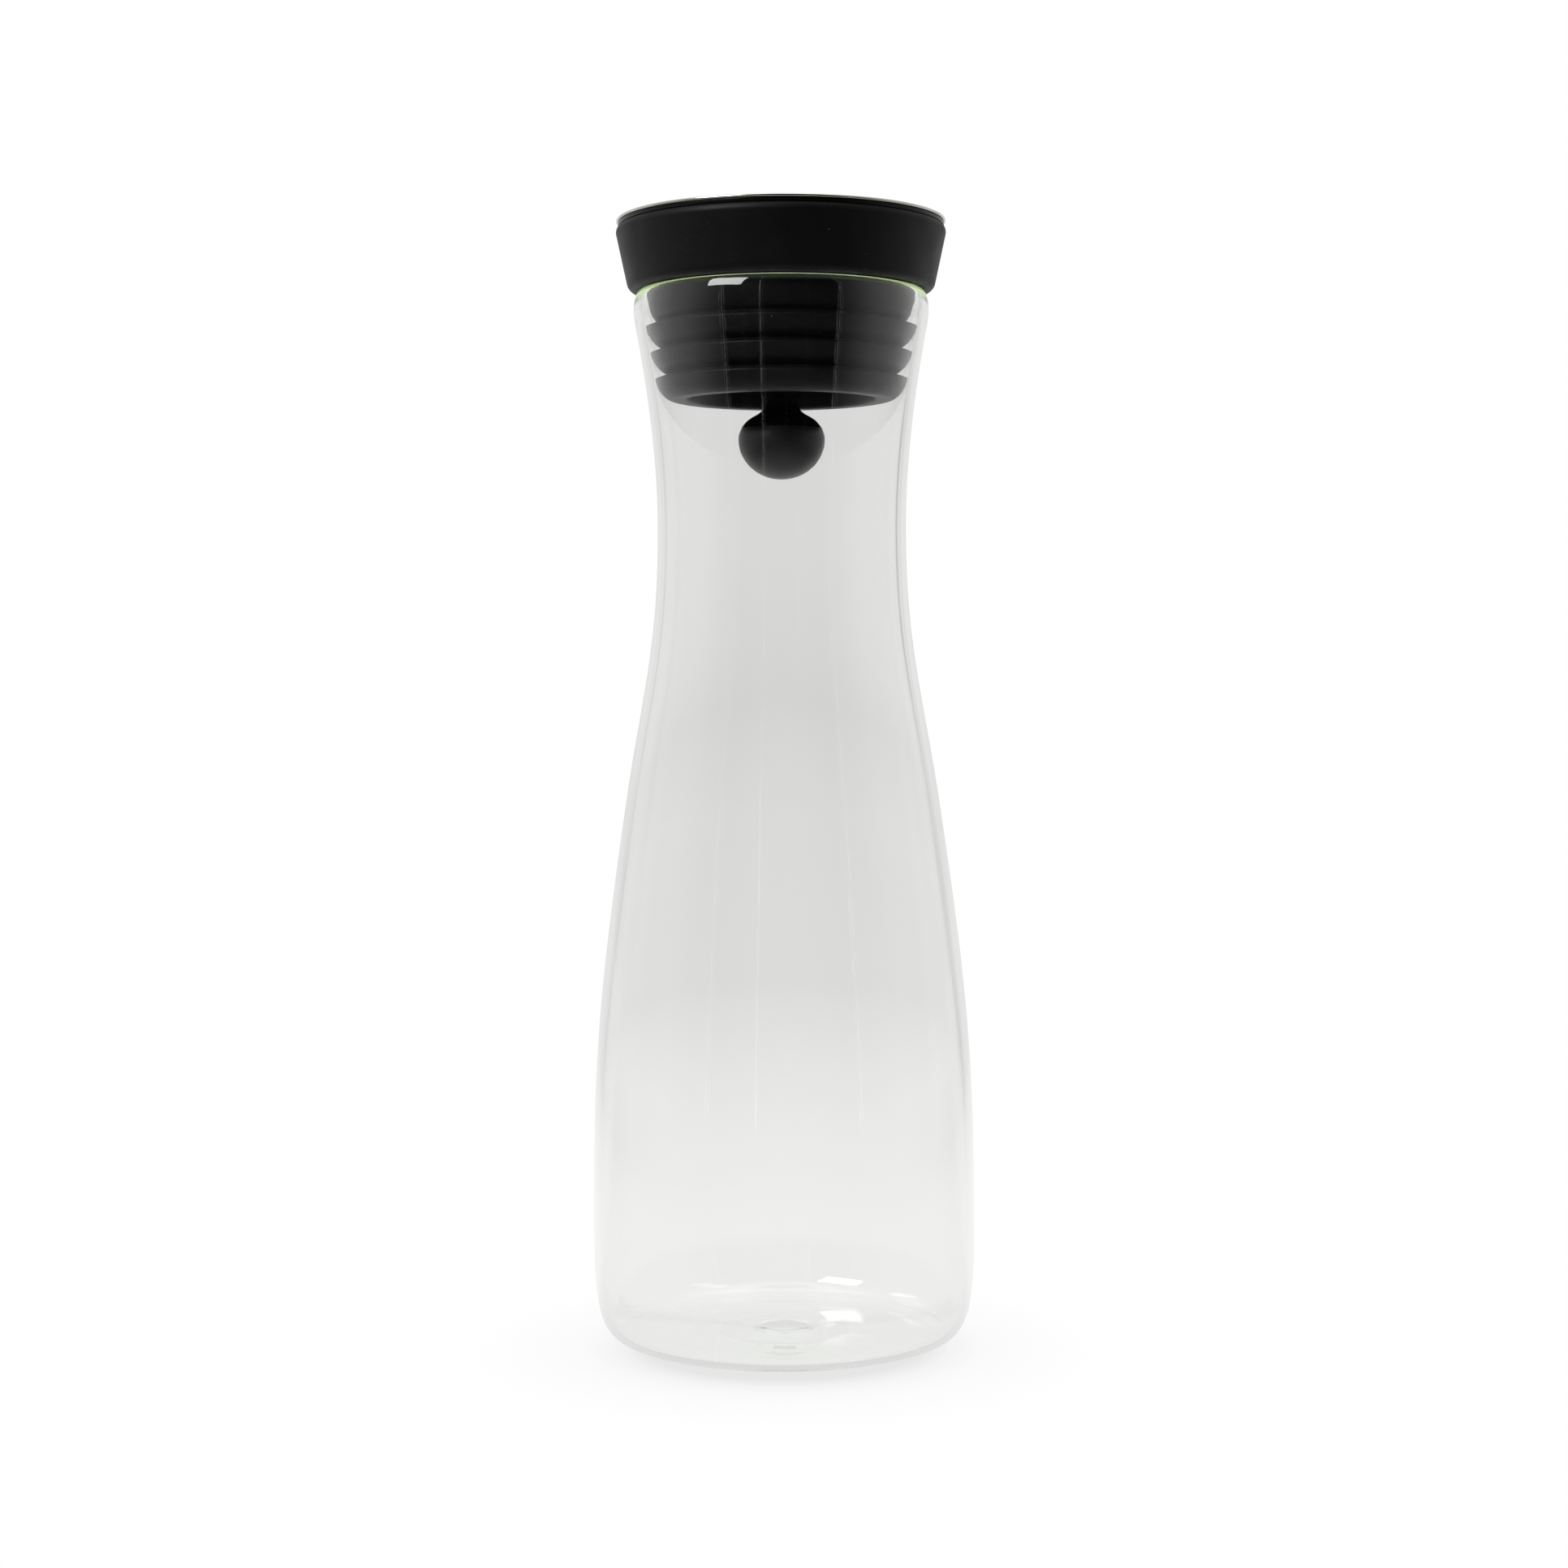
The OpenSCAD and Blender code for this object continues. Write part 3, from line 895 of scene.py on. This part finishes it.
@dataclass
class Stopper:
    """The silicone sleeve with its collar and lips, the hard funnel in it and the stem's guide."""

    glass: Glass
    rim_gap: float = 0.3
    collar_h: float = 15.6
    collar_foot_r: float = 38.2
    collar_top_r: float = 40.8
    top_round: Point = (0.5, 1.5)
    edge_r: float = 2.2
    bulge_in: float = 1.2
    bulge_drop: float = 3.0
    lip_count: int = 3
    first_lip_drop: float = 9.3
    lip_pitch: float = 6.4
    lip_reach: float = 3.3
    lip_fall: float = 1.3
    lip_gap: float = 0.3
    flank_shares: Point = (0.25, 0.8)
    sole_in: float = 3.6
    sole_drop: float = 4.9
    sole_t: float = 5.2
    bead_r: float = 0.7
    sleeve_wall: float = 2.2
    sleeve_softness: float = 0.3
    throat_in: float = 0.8
    funnel_wall: float = 1.5
    funnel_softness: float = 0.2
    mouth_r: float = 34.0
    mouth_h: float = 8.0
    flange_r: float = 37.2
    flange_t: float = 1.8
    cover_t: float = 2.7
    ledge_w: float = 1.0
    ledge_t: float = 1.5
    guide_gap: float = 0.1
    guide_h: float = 3.5
    guide_wall: float = 1.6
    guide_hole_r: float = 10.0
    guide_ease: float = 0.25
    hub_wall: float = 2.2
    arm_w: float = 5.0
    arm_in: float = 0.4

    def __post_init__(self) -> None:
        """Work out the heights and radii that follow from the sizes."""
        self.foot_z = self.glass.height + self.rim_gap
        self.top_z = self.foot_z + self.collar_h
        self.sole_z = (self.foot_z - self.first_lip_drop - (self.lip_count - 1) * self.lip_pitch
                       - self.sole_drop)
        self.inner_glass = self.glass.inner_side()
        last = self.tip(self.lip_count - 1)
        self.bore_r = last[0] - self.lip_reach - self.sleeve_wall - self.funnel_wall
        self.throat_r = self.bore_r - self.throat_in
        self.ledge_r = self.bore_r + self.ledge_w
        self.flange_top_z = self.top_z - self.cover_t
        self.mouth_z = self.flange_top_z - self.mouth_h
        self.ledge_z = self.mouth_z - self.guide_h - self.guide_gap

    def tip(self, i: int) -> Point:
        """The tip of a sealing lip."""
        z = self.foot_z - self.first_lip_drop - i * self.lip_pitch
        return radius_at(self.inner_glass, z) - self.lip_gap, z

    def notch(self, i: int) -> Point:
        """The notch above a lip."""
        r, z = self.tip(i)
        return r - self.lip_reach, z + self.lip_fall

    def flank(self, high: Point, low: Point, steps: int = 20) -> Outline:
        """A convex flank.

        Args:
            high: The tip that it comes from.
            low: The next notch, where it ends.
            steps: Number of straight steps.

        Returns:
            Its points, both ends included.
        """
        in_share, fall_share = self.flank_shares
        bend = (high[0] - (high[0] - low[0]) * in_share, high[1] - (high[1] - low[1]) * fall_share)
        points = []
        for i in range(steps + 1):
            t = i / steps
            points.append(tuple((1 - t) ** 2 * high[k] + 2 * (1 - t) * t * bend[k] + t * t * low[k]
                                for k in (0, 1)))
        return points

    def funnel_outside(self) -> Outline:
        """The funnel's outer side, from its foot to its mouth."""
        run = self.mouth_r - self.ledge_r
        wall = self.funnel_wall * math.hypot(run, self.mouth_h) / self.mouth_h
        flange_z = self.flange_top_z - self.flange_t
        return [(self.bore_r + self.funnel_wall, self.sole_z + self.sole_t),
                (self.bore_r + self.funnel_wall, self.ledge_z - self.ledge_t),
                (self.ledge_r + wall, self.ledge_z - self.ledge_t + self.ledge_w),
                (self.ledge_r + wall, self.mouth_z),
                (self.mouth_r + wall - run * self.flange_t / self.mouth_h, flange_z),
                (self.flange_r, flange_z), (self.flange_r, self.flange_top_z),
                (self.mouth_r, self.flange_top_z)]

    def sleeve(self) -> Piece:
        """The sleeve, whose outline runs from the mouth over the collar and the lips to the funnel."""
        taper = math.degrees(math.atan2(self.collar_top_r - self.collar_foot_r, self.collar_h))
        bulge = (radius_at(self.inner_glass, self.glass.lip[1]) - self.bulge_in,
                 self.foot_z - self.bulge_drop)
        sole = (self.tip(self.lip_count - 1)[0] - self.sole_in, self.sole_z)
        top_in, top_fall = self.top_round
        top = (self.collar_top_r - top_in, self.top_z)
        outline = [(self.mouth_r, self.top_z), top]
        outline += curve(top, (self.collar_top_r - top_in / 2, self.top_z - top_fall / 4),
                         (self.collar_top_r, self.top_z - top_fall / 2),
                         (self.collar_top_r, self.top_z - top_fall), steps=8)
        outline += arc((self.collar_foot_r - self.edge_r, self.foot_z + self.edge_r),
                       (self.edge_r, self.edge_r), -taper, -90, steps=10)
        outline += [(bulge[0], self.foot_z)]
        outline += self.flank(bulge, self.notch(0))
        for i in range(self.lip_count - 1):
            outline += self.flank(self.tip(i), self.notch(i + 1))
        outline += self.flank(self.tip(self.lip_count - 1), sole)
        outline += arc((self.throat_r + self.bead_r, self.sole_z + self.bead_r),
                       (self.bead_r, self.bead_r), -90, -180, steps=8)
        outline += [(self.throat_r, self.sole_z + self.sole_t)] + self.funnel_outside()
        distinct = [p for p, q in zip(outline, outline[1:] + outline[:1]) if distance(p, q) > SAME_PLACE]
        return turned("silicone_sleeve", softened(closed(distinct), self.sleeve_softness))

    def funnel(self) -> Piece:
        """The hard funnel."""
        outline = [(self.bore_r, self.sole_z + self.sole_t)] + self.funnel_outside()
        outline += [(self.ledge_r, self.mouth_z), (self.ledge_r, self.ledge_z),
                    (self.bore_r, self.ledge_z)]
        return turned("pouring_funnel", softened(closed(outline), self.funnel_softness))

    def guide(self) -> Piece:
        """The ring and hub on two arms that keep the stem in the middle."""
        low, high = self.ledge_z, self.ledge_z + self.guide_h
        ring_r = self.ledge_r - self.guide_gap
        hub_r = self.guide_hole_r + self.hub_wall

        def hoop(name: str, inner: float, outer: float) -> Piece:
            """A plain hoop of the guide's height."""
            return turned(name, closed([(inner, low), (outer, low), (outer, high), (inner, high)]), 96)

        piece = hoop("stem_guide_ring", ring_r - self.guide_wall, ring_r)
        fuse(piece, hoop("hub", self.guide_hole_r, hub_r))
        for side in (-1, 1):
            near = side * (self.guide_hole_r + self.hub_wall / 2)
            far = side * (ring_r - self.guide_wall / 2)
            fuse(piece, bar("arm", Vector((-self.arm_w / 2, min(near, far), low + self.arm_in)),
                            Vector((self.arm_w / 2, max(near, far), high - self.arm_in))))
        ease(piece, self.guide_ease)
        return piece

    def build(self, finishes: Finishes) -> list[Piece]:
        """The whole stopper.

        Args:
            finishes: Every material, by its slot.

        Returns:
            Its pieces.
        """
        return dressed(finishes, Body.STOPPER, [
            (self.sleeve(), Slot.SILICONE, "stopper_sleeve"),
            (self.funnel(), Slot.PLASTIC, "pour_funnel"),
            (self.guide(), Slot.PLASTIC, "stem_guide")])


@dataclass
class Lid:
    """The steel cap, the black core under it, and the stem with its weight.

    A value named share or shares says how far along a rise or a reach a curve bends.
    """

    stopper: Stopper
    seat_gap: float = 0.1
    cap_inset: float = 0.1
    cap_t: float = 0.7
    cap_rise: float = 1.8
    cap_prop: float = 0.3
    overhang: float = 0.4
    rim_h: float = 1.0
    core_gap: float = 0.05
    core_softness: float = 0.15
    plug_gap: float = 0.5
    plug_h: float = 2.0
    plug_wall: float = 2.0
    boss_wall: float = 2.6
    rib_count: int = 6
    rib_w: float = 1.4
    rib_in: float = 0.1
    rib_sink: float = 0.3
    recess_h: float = 1.6
    stem_r: float = 4.05
    stem_softness: float = 0.2
    stem_seat_h: float = 8.0
    weight_r: float = 10.7
    waist_share: float = 0.69
    bowl_h: float = 9.7
    shoulder_rise: float = 5.5
    shoulder_shares: Triple = (0.5, 0.82, 0.5)
    flare_h: float = 3.9
    flare_shares: Triple = (0.6, 0.45, 0.22)
    weight_drop: float = 9.7
    seam_rise: float = 2.8
    bowl_wall: float = 1.5
    tail_r: float = 2.5
    tail_h: float = 7.0

    def __post_init__(self) -> None:
        """Work out the heights and radii that follow from the sizes."""
        self.seat_z = self.stopper.top_z + self.seat_gap
        self.cap_z = self.seat_z + self.rim_h
        self.cap_r = self.stopper.collar_top_r - self.cap_inset
        self.core_r = self.cap_r - self.overhang
        self.plug_r = self.stopper.mouth_r - self.plug_gap
        self.plug_z = self.seat_z - self.plug_h
        self.dome_r = (self.cap_r ** 2 + self.cap_rise ** 2) / (2 * self.cap_rise)
        self.boss_r = self.stem_r + self.boss_wall
        self.boss_z = self.plug_z - self.stem_seat_h
        self.weight_z = self.stopper.sole_z - self.weight_drop
        self.neck_z = self.weight_z + self.shoulder_rise + self.flare_h
        self.seam_z = self.weight_z + self.seam_rise

    def dome(self, base: float, edge_r: float, steps: int) -> Outline:
        """The dome of the cap.

        Args:
            base: The height that it rises from.
            edge_r: Where it ends.
            steps: Number of straight steps.

        Returns:
            Its points, from the axis outwards.
        """
        points = []
        for i in range(steps + 1):
            r = edge_r * i / steps
            points.append((r, base + math.sqrt(self.dome_r ** 2 - r * r) - self.dome_r + self.cap_rise))
        return points

    def cap(self) -> Piece:
        """The pressed steel cap with its rounded edge."""
        half = self.cap_t / 2
        outline = self.dome(self.cap_z + self.cap_t, self.cap_r - half, steps=24)
        outline += arc((self.cap_r - half, self.cap_z + half), (half, half), 90, -90, steps=12)[1:]
        outline += self.dome(self.cap_z, self.cap_r - self.cap_t, steps=24)[::-1]
        return turned("steel_cap", propped(outline, self.cap_prop), steps=180)

    def core(self) -> Piece:
        """The core with its seat, its plug, its boss and the ribs between them."""
        top_z = self.cap_z - self.core_gap
        recess_z = self.plug_z + self.recess_h
        recess_r = self.plug_r - self.plug_wall
        outline = self.dome(top_z, self.core_r - self.cap_t, steps=12)
        outline += [(self.core_r, top_z), (self.core_r, self.seat_z), (self.plug_r, self.seat_z),
                    (self.plug_r, self.plug_z), (recess_r, self.plug_z), (recess_r, recess_z),
                    (self.boss_r, recess_z), (self.boss_r, self.boss_z), (self.stem_r, self.boss_z),
                    (self.stem_r, self.plug_z), (0.0, self.plug_z)]
        piece = turned("lid_core_disc", softened(outline, self.core_softness), steps=180)
        reach = self.plug_r - self.plug_wall / 2
        start = self.boss_r - self.boss_wall / 2
        for i in range(self.rib_count):
            rib = bar("rib", Vector((start, -self.rib_w / 2, self.plug_z + self.rib_in)),
                      Vector((reach, self.rib_w / 2, recess_z + self.rib_sink)))
            pick(rib)
            rib.rotation_euler = (0, 0, (i + 0.5) * math.tau / self.rib_count)
            bpy.ops.object.transform_apply(location=False, rotation=True, scale=False)
            fuse(piece, rib)
        pick(piece)
        shade(sharp=40)
        return piece

    def stem(self) -> Piece:
        """The rod between the lid and the weight."""
        outline = [(0.0, self.plug_z), (self.stem_r, self.plug_z), (self.stem_r, self.seam_z),
                   (self.tail_r, self.seam_z), (self.tail_r, self.seam_z - self.tail_h),
                   (0.0, self.seam_z - self.tail_h)]
        return turned("lid_stem", softened(outline, self.stem_softness), steps=96)

    def crown(self) -> Outline:
        """The weight's outline from the stem down to its widest place."""
        waist = (self.weight_r * self.waist_share, self.weight_z + self.shoulder_rise)
        down_share, in_share, up_share = self.flare_shares
        flare = curve((self.stem_r, self.neck_z), (self.stem_r, self.neck_z - self.flare_h * down_share),
                      (waist[0] - (waist[0] - self.stem_r) * in_share, waist[1] + self.flare_h * up_share),
                      waist, steps=24)
        out_share, high_share, low_share = self.shoulder_shares
        shoulder = curve(waist, (waist[0] + (self.weight_r - waist[0]) * out_share,
                                 self.weight_z + self.shoulder_rise * high_share),
                         (self.weight_r, self.weight_z + self.shoulder_rise * low_share),
                         (self.weight_r, self.weight_z), steps=24)
        return flare + shoulder[1:]

    def weight_top(self) -> Piece:
        """The upper half of the weight's casing, drawn up round the stem."""
        crown = self.crown()
        above = [p for p in crown if p[1] > self.seam_z]
        seam_r = radius_at(crown[::-1], self.seam_z)
        outline = closed([(self.stem_r, self.seam_z)] + above + [(seam_r, self.seam_z)])
        return turned("weight_neck", outline, steps=128)

    def weight_bottom(self) -> Piece:
        """The lower half of the casing, a bowl round the slug."""
        crown = self.crown()
        seam_r = radius_at(crown[::-1], self.seam_z)
        below = [p for p in crown if self.weight_z < p[1] < self.seam_z]
        middle = (0, self.weight_z)
        outline = arc(middle, (self.weight_r, self.bowl_h), 0, -90, steps=32)[::-1] + below[::-1]
        outline += [(seam_r, self.seam_z), (seam_r - self.bowl_wall / 2, self.seam_z)]
        outline += arc(middle, (self.weight_r - self.bowl_wall, self.bowl_h - self.bowl_wall),
                       -90, 0, steps=24)[::-1]
        return turned("weight_shell", outline, steps=128)

    def build(self, finishes: Finishes) -> list[Piece]:
        """The whole lid.

        Args:
            finishes: Every material, by its slot.

        Returns:
            Its pieces.
        """
        return dressed(finishes, Body.LID, [
            (self.cap(), Slot.POLISHED, "lid_cap"), (self.core(), Slot.PLASTIC, "lid_core"),
            (self.stem(), Slot.PLASTIC, "pendulum_stem"), (self.weight_top(), Slot.PLASTIC, "weight_cap"),
            (self.weight_bottom(), Slot.COAT, "weight_bowl")])


# The studio


@dataclass(frozen=True)
class Slit:
    """An upright slit of light: its azimuth and width in degrees, and its level."""

    azimuth: float
    width: float
    level: float


@dataclass(frozen=True)
class Room:
    """The room that glass, steel and black parts see: dark on the camera's side, and pale behind.

    Levels are of grey, by azimuth in degrees to the right of the camera. Folded, front and
    ceiling_rise are ranges in radians: the drapes' folds fade out over the first, and the ceiling
    starts in the last. What is seen straight through the glass has a least level in front, which
    fades out over the middle one, so that the glass is as clear from behind.
    """

    levels: tuple[Point, ...]
    slits: tuple[Slit, ...] = ()
    slit_edge_shares: Point = (0.7, 1.3)
    fold_depth: float = 0.35
    fold_scale: float = 22.0
    folded: Point = (0.8, 2.4)
    seen_through: float = 0.76
    front: Point = (1.8, 2.1)
    ceiling: float = 0.9
    ceiling_rise: Point = (0.75, 1.1)

    def drapes(self, bench: Bench, turn: Socket) -> Socket:
        """The room's level of grey without its slits.

        Args:
            bench: The bench of the material or world that needs it.
            turn: The azimuth.

        Returns:
            The level there.
        """
        plain = bench.ramp(bench.ranged(turn, (-math.pi, math.pi)),
                           [((azimuth + 180) / 360, level) for azimuth, level in self.levels])
        folds = bench.add("ShaderNodeTexNoise", noise_dimensions="1D",
                          inputs={"W": turn, "Scale": self.fold_scale, "Detail": 4.0})
        depth = bench.ranged(bench.math("ABSOLUTE", turn), self.folded, (self.fold_depth, 0.0))
        fold = bench.math("MULTIPLY", bench.math("SUBTRACT", folds.outputs["Fac"], 0.5), depth)
        return bench.math("MULTIPLY", plain, bench.math("ADD", fold, 1.0))

    def lit(self, bench: Bench, turn: Socket, level: Socket) -> Socket:
        """The room's level of grey with its slits.

        Args:
            bench: The bench of the material or world that needs it.
            turn: The azimuth.
            level: The level without them.

        Returns:
            The level there.
        """
        for slit in self.slits:
            off = bench.math("ABSOLUTE", bench.math("SUBTRACT", turn, math.radians(slit.azimuth)))
            half = math.radians(slit.width) / 2
            edge = tuple(half * share for share in self.slit_edge_shares)
            level = bench.math("MAXIMUM", level, bench.ranged(off, edge, (slit.level, 0.0)))
        return level

    def seen(self, bench: Bench, way: Socket) -> Socket:
        """The room in a direction.

        Args:
            bench: The bench of the material or world that needs it.
            way: The direction, of any length.

        Returns:
            The colour seen that way.
        """
        parts = bench.parts(way)
        turn = bench.math("ARCTAN2", parts.outputs["X"], bench.math("MULTIPLY", parts.outputs["Y"], -1.0))
        rise = bench.math("ARCTAN2", parts.outputs["Z"], bench.across(parts))
        plain = self.drapes(bench, turn)
        least = bench.ranged(bench.math("ABSOLUTE", turn), self.front, (self.seen_through, 0.0))
        path = bench.add("ShaderNodeLightPath")
        mirrored = bench.math("ADD", path.outputs["Glossy Depth"], path.outputs["Diffuse Depth"])
        level = bench.blended(bench.math("LESS_THAN", mirrored, 0.5), self.lit(bench, turn, plain),
                              bench.math("MAXIMUM", plain, least))
        return bench.blended(bench.ranged(rise, self.ceiling_rise, smooth=True), level, grey(self.ceiling))


ROOM = Room(
    levels=((-180, 0.80), (-160, 0.79), (-149, 0.77), (-145, 0.62), (-141, 0.77), (-126, 0.77),
            (-118, 0.67), (-80, 0.48), (-60, 0.20), (-49.5, 0.08), (-48, 0.006), (46.5, 0.006),
            (48, 0.08), (60, 0.20), (80, 0.48), (118, 0.67), (126, 0.76), (137, 0.74), (141.5, 0.42),
            (146, 0.76), (160, 0.79), (180, 0.80)),
    slits=(Slit(-16.6, 0.35, 1.8), Slit(-14.2, 0.25, 0.4), Slit(-46.6, 0.4, 1.3), Slit(-48.6, 0.5, 0.8),
           Slit(46.6, 0.35, 1.9), Slit(48.4, 0.4, 0.8), Slit(4.0, 0.5, 0.06), Slit(21.0, 0.8, 0.05),
           Slit(-30.0, 0.8, 0.05)))
# What the floor between the pale middle and the room itself shows
ROOM_FLOOR = Room(
    levels=((-180, 0.80), (-150, 0.78), (-128, 0.74), (-118, 0.42), (-80, 0.18), (-60, 0.08),
            (-49.5, 0.05), (-48, 0.006), (46.5, 0.006), (48, 0.05), (60, 0.08), (80, 0.18),
            (118, 0.42), (128, 0.70), (150, 0.78), (180, 0.80)))


@dataclass(frozen=True)
class Softbox:
    """A rectangular lamp that faces the carafe's neck.

    Azimuth is in degrees to the right of the camera, rise in degrees above the level of the
    neck, away and size in metres, and power in watts.
    """

    name: str
    azimuth: float
    rise: float
    away: float
    size: Point
    power: float
    neck: Triple = (0.0, 0.0, 0.22)

    def build(self) -> None:
        """Hang the lamp in its place, where the camera doesn't see it."""
        data = bpy.data.lights.new(self.name, "AREA")
        data.shape = "RECTANGLE"
        data.size, data.size_y = self.size
        data.energy = self.power
        lamp = bpy.data.objects.new(self.name, data)
        bpy.context.scene.collection.objects.link(lamp)
        turn, lift = math.radians(self.azimuth), math.radians(self.rise)
        way = Vector((math.sin(turn) * math.cos(lift), -math.cos(turn) * math.cos(lift), math.sin(lift)))
        lamp.location = Vector(self.neck) + way * self.away
        lamp.rotation_euler = way.to_track_quat("Z", "Y").to_euler()
        lamp.visible_camera = False


LAMPS = (Softbox("key", azimuth=-46, rise=34, away=1.3, size=(0.6, 0.45), power=12),
         Softbox("overhead", azimuth=180, rise=80, away=1.5, size=(1.2, 1.2), power=5))


@dataclass
class Studio:
    """The camera, the floor, the lamps and the world.

    To all but the camera the floor is pale round the near middle, a painted pool of light, and over
    the range of near_edge it goes over to the room. The range of distant is that in which the room's
    slits come in. To the camera it is white with a painted soft shadow of the carafe, not cast by the
    lamps, whose levels of grey are by distance from its middle, as shares of its reach.
    """

    camera_side: float = 0.0004
    camera_back: float = 0.700
    camera_up: float = 0.164
    camera_dip: float = 2.1
    camera_roll: float = 0.19
    focal: float = 64.5
    sensor: float = 36.0
    nearest: float = 0.01
    floor_reach: float = 3.0
    # The near values make a painted pool of light on the floor, paler round a middle behind the carafe
    near_level: float = 0.935
    near_middle: Triple = (0.0, 0.2, 0.0)
    near_squeeze: Triple = (1.8, 1.0, 1.0)
    near_edge: Point = (0.1, 0.65)
    distant: Point = (0.4, 0.9)
    horizon: Point = (0.0, 0.05)
    horizon_level: float = 0.94
    # The carafe's shadow on the floor is painted: levels of grey by distance from a middle, not cast by the
    # lamps
    painted_shadow_middle: Triple = (0.0, -0.012, 0.0)
    painted_shadow_reach: float = 0.1
    painted_shadow_levels: tuple[Point, ...] = ((0.0, 0.78), (0.337, 0.79), (0.373, 0.845), (0.404, 0.895),
                                        (0.435, 0.92), (0.48, 0.95), (0.56, 0.973), (0.77, 0.998),
                                        (0.9, 1.0))
    bounces: int = 160

    def camera(self) -> None:
        """The camera, which looks along +Y and a little down."""
        data = bpy.data.cameras.new("camera")
        data.lens = self.focal
        data.sensor_width = self.sensor
        data.clip_start = self.nearest
        camera = bpy.data.objects.new("camera", data)
        bpy.context.scene.collection.objects.link(camera)
        camera.location = (self.camera_side, -self.camera_back, self.camera_up)
        camera.rotation_euler = (math.radians(90 - self.camera_dip), math.radians(self.camera_roll), 0.0)
        bpy.context.scene.camera = camera

    def around(self, bench: Bench) -> Socket:
        """The floor's colour to all but the camera: a painted pool of light, pale round a middle behind the
        carafe, that fades to the room's levels.

        Args:
            bench: The bench of the floor's material.

        Returns:
            The colour of each place.
        """
        place = bench.here()
        far = bench.ranged(bench.away(bench.place(self.near_squeeze), self.near_middle), self.near_edge)
        distant = bench.ranged(bench.away(place, (0.0, 0.0, 0.0)), self.distant)
        rest = bench.blended(distant, ROOM_FLOOR.seen(bench, place), ROOM.seen(bench, place))
        return bench.blended(far, grey(self.near_level), rest)

    def shadow(self, bench: Bench) -> Socket:
        """The floor's colour to the camera: the carafe's soft shadow, painted as darker grey round its foot,
        and white beyond.
        """
        away = bench.away(bench.here(), self.painted_shadow_middle)
        return bench.ramp(bench.ranged(away, (0.0, self.painted_shadow_reach)), list(self.painted_shadow_levels))

    def floor(self) -> None:
        """The floor, which glows with its own colours, with the carafe's shadow painted among them for the
        camera.
        """
        deselect()
        bpy.ops.mesh.primitive_plane_add(size=2 * self.floor_reach)
        floor = named(bpy.context.object, "floor")
        material, bench = blank_material("pale_floor")
        # The camera's emission shows the carafe's painted shadow, not one cast by the lamps
        others, camera = (bench.add("ShaderNodeEmission", {"Color": colour})
                          for colour in (self.around(bench), self.shadow(bench)))
        path = bench.add("ShaderNodeLightPath")
        bench.show(bench.choice(path.outputs["Is Camera Ray"], others, camera))
        floor.data.materials.append(material)

    def surroundings(self) -> None:
        """The world: white to the camera, and the room to everything else."""
        world = bpy.data.worlds.new("studio")
        bpy.context.scene.world = world
        world.use_nodes = True
        world.node_tree.nodes.clear()
        bench = Bench(world.node_tree)
        way = bench.add("ShaderNodeTexCoord").outputs["Generated"]
        steepness = bench.math("ABSOLUTE", bench.parts(way).outputs["Z"])
        dimmed = bench.math("MULTIPLY", ROOM.seen(bench, way),
                            bench.ranged(steepness, self.horizon, (self.horizon_level, 1.0)))
        path = bench.add("ShaderNodeLightPath")
        colour = bench.blended(path.outputs["Is Camera Ray"], dimmed, grey(1.0))
        background = bench.add("ShaderNodeBackground", {"Color": colour})
        bench.add("ShaderNodeOutputWorld", {"Surface": background.outputs["Background"]})

    def build(self) -> None:
        """Set up the whole studio."""
        scene = bpy.context.scene
        scene.view_settings.view_transform = "Standard"
        scene.cycles.max_bounces = self.bounces
        scene.cycles.glossy_bounces = self.bounces
        scene.cycles.transmission_bounces = self.bounces
        self.camera()
        self.floor()
        self.surroundings()
        for lamp in LAMPS:
            lamp.build()


def dress_hidden_nodes(finishes: Finishes, frame: dict) -> None:
    """Give the CAD nodes that stay their material.

    Args:
        finishes: Every material, by its slot.
        frame: The loaded frame.
    """
    for node in ("stem_screw", "weight_slug"):
        piece = frame["nodes"][node]
        piece.data.materials.clear()
        piece.data.materials.append(finishes[Slot.STEEL])


def main() -> None:
    """Build the carafe round its frame, piece by piece."""
    logging.basicConfig(level=logging.INFO, format="%(name)s: %(message)s", stream=sys.stdout)
    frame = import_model()
    deselect()
    finishes = {slot: finish.material() for slot, finish in FINISHES.items()}
    glass = Glass()
    stopper = Stopper(glass)
    for assembly in (glass, stopper, Lid(stopper)):
        for piece in assembly.build(finishes):
            LOG.info("%s: %d faces", piece.name, len(piece.data.polygons))
    dress_hidden_nodes(finishes, frame)
    Studio().build()


if __name__ == "__main__":
    main()
